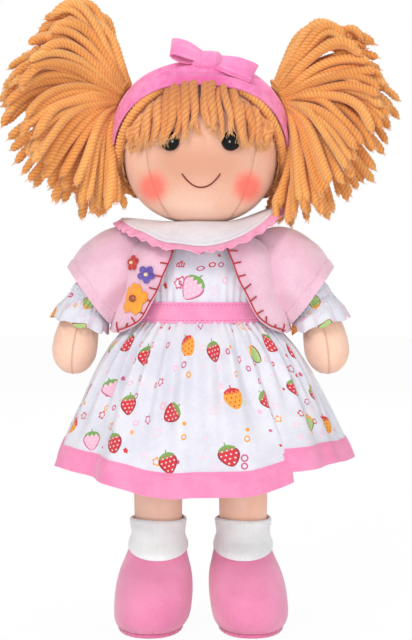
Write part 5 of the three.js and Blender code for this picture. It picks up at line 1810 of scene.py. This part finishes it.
def bunch_strand(side, rise, turn, chance, stray):
    root = bunch_root(side)
    tie = BUNCH_WAY * (side, 1, 1)
    way = np.array([side * math.cos(rise) * math.cos(turn), math.sin(turn), math.sin(rise) * math.cos(turn)])
    offset = (way - tie * (way @ tie)) * 7.6 * MM
    reach = bunch_reach(rise, side) * chance.uniform(0.92, 1.04) - 1.0 * MM + stray * 4 * MM
    start = root - tie * 5 * MM + offset * 0.85
    lift = chance.uniform(-0.1, 0.75) if rise > math.radians(-40) else chance.uniform(-0.1, 0.3)
    if side > 0 and rise > math.radians(20):
        lift = lift + 0.4
    lead = start + tie * 11 * MM + (way + np.array([0, 0, lift])) * 12 * MM + offset * 0.5
    end = root + way * reach
    fall = 0.35 + 1.5 * lift * max(math.cos(rise), 0) + 0.8 * stray
    droop = unit((way + np.array([0, 0, -fall]))[None])[0]
    bend = chance.uniform(-1, 1, 3) * (2.2 + 5 * stray) * MM
    points = bezier(start, lead, end - droop * reach * 0.42 + bend, end, 40)
    run = np.linspace(0, 1, 40)
    aside = unit(np.cross(way, chance.normal(size=3)))
    wave = np.sin(run * chance.uniform(3, 8) + chance.uniform(0, 6)) * ease(0.15, 0.5, run)
    points = points + aside * (wave * chance.uniform(0.5, 1.7) * MM)[:, None]
    return clear_of_head(points, HAIR_CLEAR)


def bunch_directions(side, chance):
    """Rises and turns of the strands: a front and a back layer side by side, and three layers between."""
    rows = []
    for layer, count in LAYERS:
        start = chance.uniform(0, 6)
        for i in range(count):
            across = mix(-1, 1, (i + 0.5 + chance.uniform(-0.45, 0.45)) / count)
            rise = RISE_MIDDLE[side] + RISE_HALF * across + 0.05 * math.sin(11 * across + start)
            turn = TURN_HALF * layer * max(1 - across * across, 0) ** 0.36 + chance.uniform(-0.12, 0.12)
            rows.append((rise, turn))
    for i in range(7):
        rows.append((math.radians(mix(*LOWEST[side], (i + 0.5) / 7)), math.radians(chance.uniform(-26, -4))))
    return rows


for label, side in SIDES:
    chance = np.random.default_rng(31 + side)
    lines = []
    for rise, turn in bunch_directions(side, chance):
        stray = chance.uniform(0.4, 1) if chance.uniform() < STRAY_SHARE else 0.0
        lines.append(bunch_strand(side, rise, turn, chance, stray))
    bunch = strands("yarn_bunch_" + label, lines, BUNCH_YARN, 0.86 * MM, around=8, pitch=YARN_TWIST,
                    depth=0.16,
                    thin=lambda run: mix(0.6, 1.0, ease(0.04, 0.3, run)) * mix(1.0, 0.8, ease(0.94, 1, run)),
                    uneven=0.12)
    tufts = [fibre for line in lines for fibre in fray_paths(line, 10, chance, 1.0, 2.2 * MM)]
    tufts = strands("bunch_fibres_" + label, tufts, 0.22 * MM, 1.2 * MM, plies=0, around=4,
                    thin=lambda run: mix(1.0, 0.5, run), uneven=0.3)
    wear(bunch, hair_yarn)
    wear(tufts, pale_fibre)
    for piece in (bunch, tufts):
        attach(piece, "bunch_" + label)
    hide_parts("bunch_" + label)
    around = np.linspace(0, 2 * math.pi, 80)
    tie = BUNCH_WAY * (side, 1, 1)
    across = unit(np.cross(tie, [0, 1, 0]))
    ring = np.cos(around)[:, None] * across + np.sin(around)[:, None] * np.cross(tie, across)
    loop = bunch_root(side) + tie * 0.6 * MM + TIE_RADIUS * ring
    band = strands("hair_elastic_" + label, [loop], 1.0 * MM, 0.6 * MM, plies=3, around=12, pitch=4 * MM)
    wear(band, elastic)
    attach(band, "bunch_" + label)
    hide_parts("hair_tie_" + label)
    print("strands:", len(lines), "faces:", len(bunch.data.polygons))

# %% [markdown]
# Headband and bow
# The headband is a strip of pink cotton with a soft sheen, wide over the crown and narrow at its ends, so it
# creases along its length. The bow is a second strip folded into two loops, pinched by a knot. All three lie
# on the hair, so their places are found by rays from inside the head, as the hair's are.

# %% Headband
BAND_HUB = HEAD_MIDDLE - np.array([0, 0, 10]) * MM
BAND_LEAN = math.radians(30)
BAND_FLAT = (150 * MM, 24 * MM)
BAND_WIDTHS = (8 * MM, 23 * MM)


def band_ray(angle, lean=BAND_LEAN):
    c = np.cos(angle)
    return np.stack([np.sin(angle), -c * math.sin(lean), c * math.cos(lean)], axis=-1)


def headband_place(u, v):
    angle = np.radians(92) * (2 * u - 1)
    ray = band_ray(angle)
    base = on_head(ray, 5.7 * MM, BAND_HUB)
    along = unit(band_ray(angle + 0.02) - band_ray(angle - 0.02))
    across = unit(np.cross(along, ray))
    half = mix(*BAND_WIDTHS, np.maximum(np.cos(angle), 0) ** 0.7) / 2
    spread = 2 * v - 1
    raised = 1.6 * MM * np.maximum(np.cos(angle), 0)
    lifted = base + across * (half * spread)[:, None] + np.array([[0, 0.5, 0.86]]) * raised[:, None]
    aim = unit(lifted - BAND_HUB)
    pinch = bell(angle - 0.1, 0.55)
    creases = 0.25 * np.cos(spread * 8 + 1.5 * np.sin(2 * angle)) + 0.35 * np.cos(spread * 4 + 2.2 * angle)
    creases = creases + 0.75 * pinch * np.cos(spread * 9 * (1 + 0.5 * np.abs(angle - 0.1)) + 0.6)
    edge = -0.5 * MM * np.abs(spread) ** 6
    return on_head(aim, 6.3 * MM + edge + creases * 1.1 * MM, BAND_HUB)


headband = cloth_grid("cotton_headband", 220, 40, headband_place, BAND_FLAT, HEAD_MIDDLE, 0.8 * MM)
band_cotton = cotton("band_cotton", linear(246, 146, 198), linear(234, 118, 178), 0.85, patch=200)
band_x, _, band_z = band_cotton.parts(band_cotton.coordinate("Object"))
# Painted shade: the lower edge of the headband's middle is darkened to a deeper pink.
band_side = band_cotton.absolute(band_cotton.plus(band_x, 1 * MM))
shade_middle = band_cotton.band(band_side, 26 * MM, 8 * MM)
shade_low = band_cotton.band(band_z, 309 * MM, 303 * MM)
band_painted_shade = band_cotton.times(band_cotton.times(shade_middle, shade_low), 0.7)
band_cotton.colour(band_cotton.blend(band_painted_shade, band_cotton.tone, linear(222, 84, 152)))
wear(headband, band_cotton)
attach(headband, "head")
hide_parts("headband")
print("headband faces:", len(headband.data.polygons))

# %% Bow
BOW_ASIDE = 5 * MM
BOW_TURN = np.array([math.asin(BOW_ASIDE / HEAD_HALF[0])])
BOW_SEAT = on_head(band_ray(BOW_TURN, math.radians(21)), 7.2 * MM, BAND_HUB)[0]
BOW_HEART = BOW_SEAT + np.array([-3.0, -4.0, -0.8]) * MM


def bow_axes(side, rise, lean):
    """Along a loop, across its ribbon, and out towards the front. lean tips the ribbon back to the crown."""
    along = np.array([side * math.cos(rise), 0, math.sin(rise)])
    upright = np.array([0, math.sin(lean), math.cos(lean)])
    wide = unit(upright - along * (along @ upright))
    return along, wide, side * np.cross(along, wide)


def bow_place(axes, along, wide, out):
    return BOW_HEART + along[:, None] * axes[0] + wide[:, None] * axes[1] + out[:, None] * axes[2]


def loop_place(axes, length, half_width, opening):
    def place(u, v):
        angle = 2 * math.pi * u
        share = (1 - np.cos(angle)) / 2
        along = 3 * MM + share * length
        gap = opening * np.sin(angle) * mix(0.7, 1.25, share)
        wide = (2 * v - 1) * half_width * mix(0.7, 1.0, ease(0, 0.6, share))
        crease = 0.5 * MM * np.cos(v * 12 + 1.5 * share) * (1 - share) + 0.4 * MM * np.cos(v * 6 + 1 + angle)
        along = along + 2.4 * MM * (v - 0.5) * share
        return clear_of_head(bow_place(axes, along, wide, gap + crease), HAIR_CLEAR)

    return place


KNOT_HALF = (7.4 * MM, 5.8 * MM)


def knot_place(u, v):
    angle = 2 * math.pi * u
    tilt = math.pi * (v - 0.5)
    ring = np.cos(tilt) ** 0.55
    along, wide = oval(angle, *KNOT_HALF, 3.6)
    along, wide = along * ring, wide * ring
    fold = 0.4 * MM * np.cos(along / MM * 1.25 + 0.5) + 0.2 * MM * np.cos(along / MM * 2.7 + wide / MM * 0.3)
    along = along * (1 - 0.14 * wide / KNOT_HALF[1]) + 0.3 * wide
    out = (4.4 * MM + fold) * np.sin(tilt)
    return bow_place(bow_axes(1, math.radians(-5), math.radians(25)), along, wide, out)


RIBBON_LENGTH = 50 * MM
LOOPS = {
    # side, rise, lean back, length, half the ribbon's width, half the opening
    "left": (1, -17, 25, 23 * MM, 6.8 * MM, 2.6 * MM),
    "right": (-1, 21, 38, 18.5 * MM, 6.0 * MM, 3.0 * MM),
}
for label, (side, rise, lean, length, half_width, opening) in LOOPS.items():
    axes = bow_axes(side, math.radians(rise), math.radians(lean))
    hub = tuple(BOW_HEART + axes[0] * 14 * MM)
    flat = (RIBBON_LENGTH, 2 * half_width)
    place = loop_place(axes, length, half_width, opening)
    loop = cloth_grid("bow_ribbon_" + label, 110, 26, place, flat, hub, 0.8 * MM)
    wear(loop, ribbon_cotton)
    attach(loop, "head")
    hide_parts("bow_loop_" + label)
knot = cloth_grid("bow_wrap", 96, 48, knot_place, (40 * MM, 15 * MM), tuple(BOW_HEART))
wear(knot, ribbon_cotton)
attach(knot, "head")
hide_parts("bow_knot")
print("hair and bow are made")

# %% [markdown]
# Floor, light and camera
# The doll stands on a pale floor in soft light. To the camera and in reflections the floor and the world are
# plain white, and the floor keeps a little of the doll's shadow. Large lamps in front, above and behind give
# a plain level, at which a colour renders about as it is written, and a small one is only a highlight in the
# eyes. The camera looks nearly level, from a little under a metre away.

# %% Stage
FLOOR_GLOW = 0.96
WORLD_LIGHT = 0.4
bpy.ops.mesh.primitive_plane_add(size=6, location=(0, 0, 0))
floor = bpy.context.object
floor.name = "floor"
floor_paint = Finish("floor_paint", (0.97, 0.97, 0.97), 0.9)
glow = floor_paint.add("Emission", {"Color": (1, 1, 1, 1), "Strength": 1.0})
path = floor_paint.add("LightPath")
seen = path.outputs["Is Camera Ray"]
for kind in ("Is Glossy Ray", "Is Transmission Ray"):
    seen = floor_paint.math("MAXIMUM", seen, path.outputs[kind])
share = floor_paint.times(seen, FLOOR_GLOW)
mixed = floor_paint.add("MixShader", {0: share, 1: floor_paint.shader.outputs[0], 2: glow.outputs[0]})
output = floor_paint.tree.nodes["Material Output"]
floor_paint.tree.links.new(mixed.outputs[0], output.inputs["Surface"])
wear(floor, floor_paint)
print("floor glows by a share of", FLOOR_GLOW)

# %% World and lamps
world = bpy.context.scene.world or bpy.data.worlds.new("World")
bpy.context.scene.world = world
world.use_nodes = True
nodes, links = world.node_tree.nodes, world.node_tree.links
background = nodes["Background"]
rays = nodes.new("ShaderNodeLightPath")
seen = rays.outputs["Is Camera Ray"]
for kind in ("Is Transmission Ray", "Is Glossy Ray"):
    larger = nodes.new("ShaderNodeMath")
    larger.operation = "MAXIMUM"
    links.new(seen, larger.inputs[0])
    links.new(rays.outputs[kind], larger.inputs[1])
    seen = larger.outputs[0]
strength = nodes.new("ShaderNodeMapRange")
strength.inputs["To Min"].default_value = WORLD_LIGHT
strength.inputs["To Max"].default_value = 1.0
links.new(seen, strength.inputs["Value"])
links.new(strength.outputs[0], background.inputs["Strength"])
background.inputs["Color"].default_value = (1, 1, 1, 1)


def lamp(name, place, size, power, aim=(0, 0, 0.18), mirrored=False):
    """A square lamp: its place and size in metres, its power in watts, and what it shines on."""
    bpy.ops.object.light_add(type="AREA", location=place)
    light = bpy.context.object
    light.name = name
    light.data.size = size
    light.data.energy = power
    light.visible_glossy = mirrored
    light.rotation_euler = (Vector(aim) - Vector(place)).to_track_quat("-Z", "Y").to_euler()
    return light


lamp("key_lamp", (-0.6, -1.1, 1.1), 0.45, 8.5, mirrored=True)
lamp("fill_lamp", (0.9, -1.0, 0.5), 0.9, 4.5)
lamp("top_lamp", (0, 0.2, 1.3), 0.8, 4.8)
lamp("back_lamp", (0.2, 1.2, 0.8), 0.9, 5.0)
lamp("low_lamp", (-0.2, -1.2, 0.12), 0.8, 2.4, (0, 0, 0.03))
eye_light = lamp("eye_light", (0.1, -1.0, 0.2), 0.25, 6.0, (0, -0.04, 0.267), mirrored=True)
eye_light.visible_diffuse = False

# %% Camera
DISTANCE = 0.92
HALF_VIEW = 0.18
CAMERA_ASIDE = 3 * MM
CAMERA_LEVEL, TARGET_LEVEL = 212 * MM, 171.5 * MM
SENSOR = 36
bpy.ops.object.camera_add(location=(CAMERA_ASIDE, -DISTANCE, CAMERA_LEVEL))
camera = bpy.context.object
camera.name = "photo_camera"
target = Vector((CAMERA_ASIDE, 0, TARGET_LEVEL))
camera.rotation_euler = (target - camera.location).to_track_quat("-Z", "Y").to_euler()
camera.data.sensor_width = SENSOR
camera.data.lens = SENSOR / 2 / (HALF_VIEW / DISTANCE)
print("lens:", round(camera.data.lens, 1), "mm")
bpy.context.scene.camera = camera
bpy.context.scene.view_settings.view_transform = "Standard"
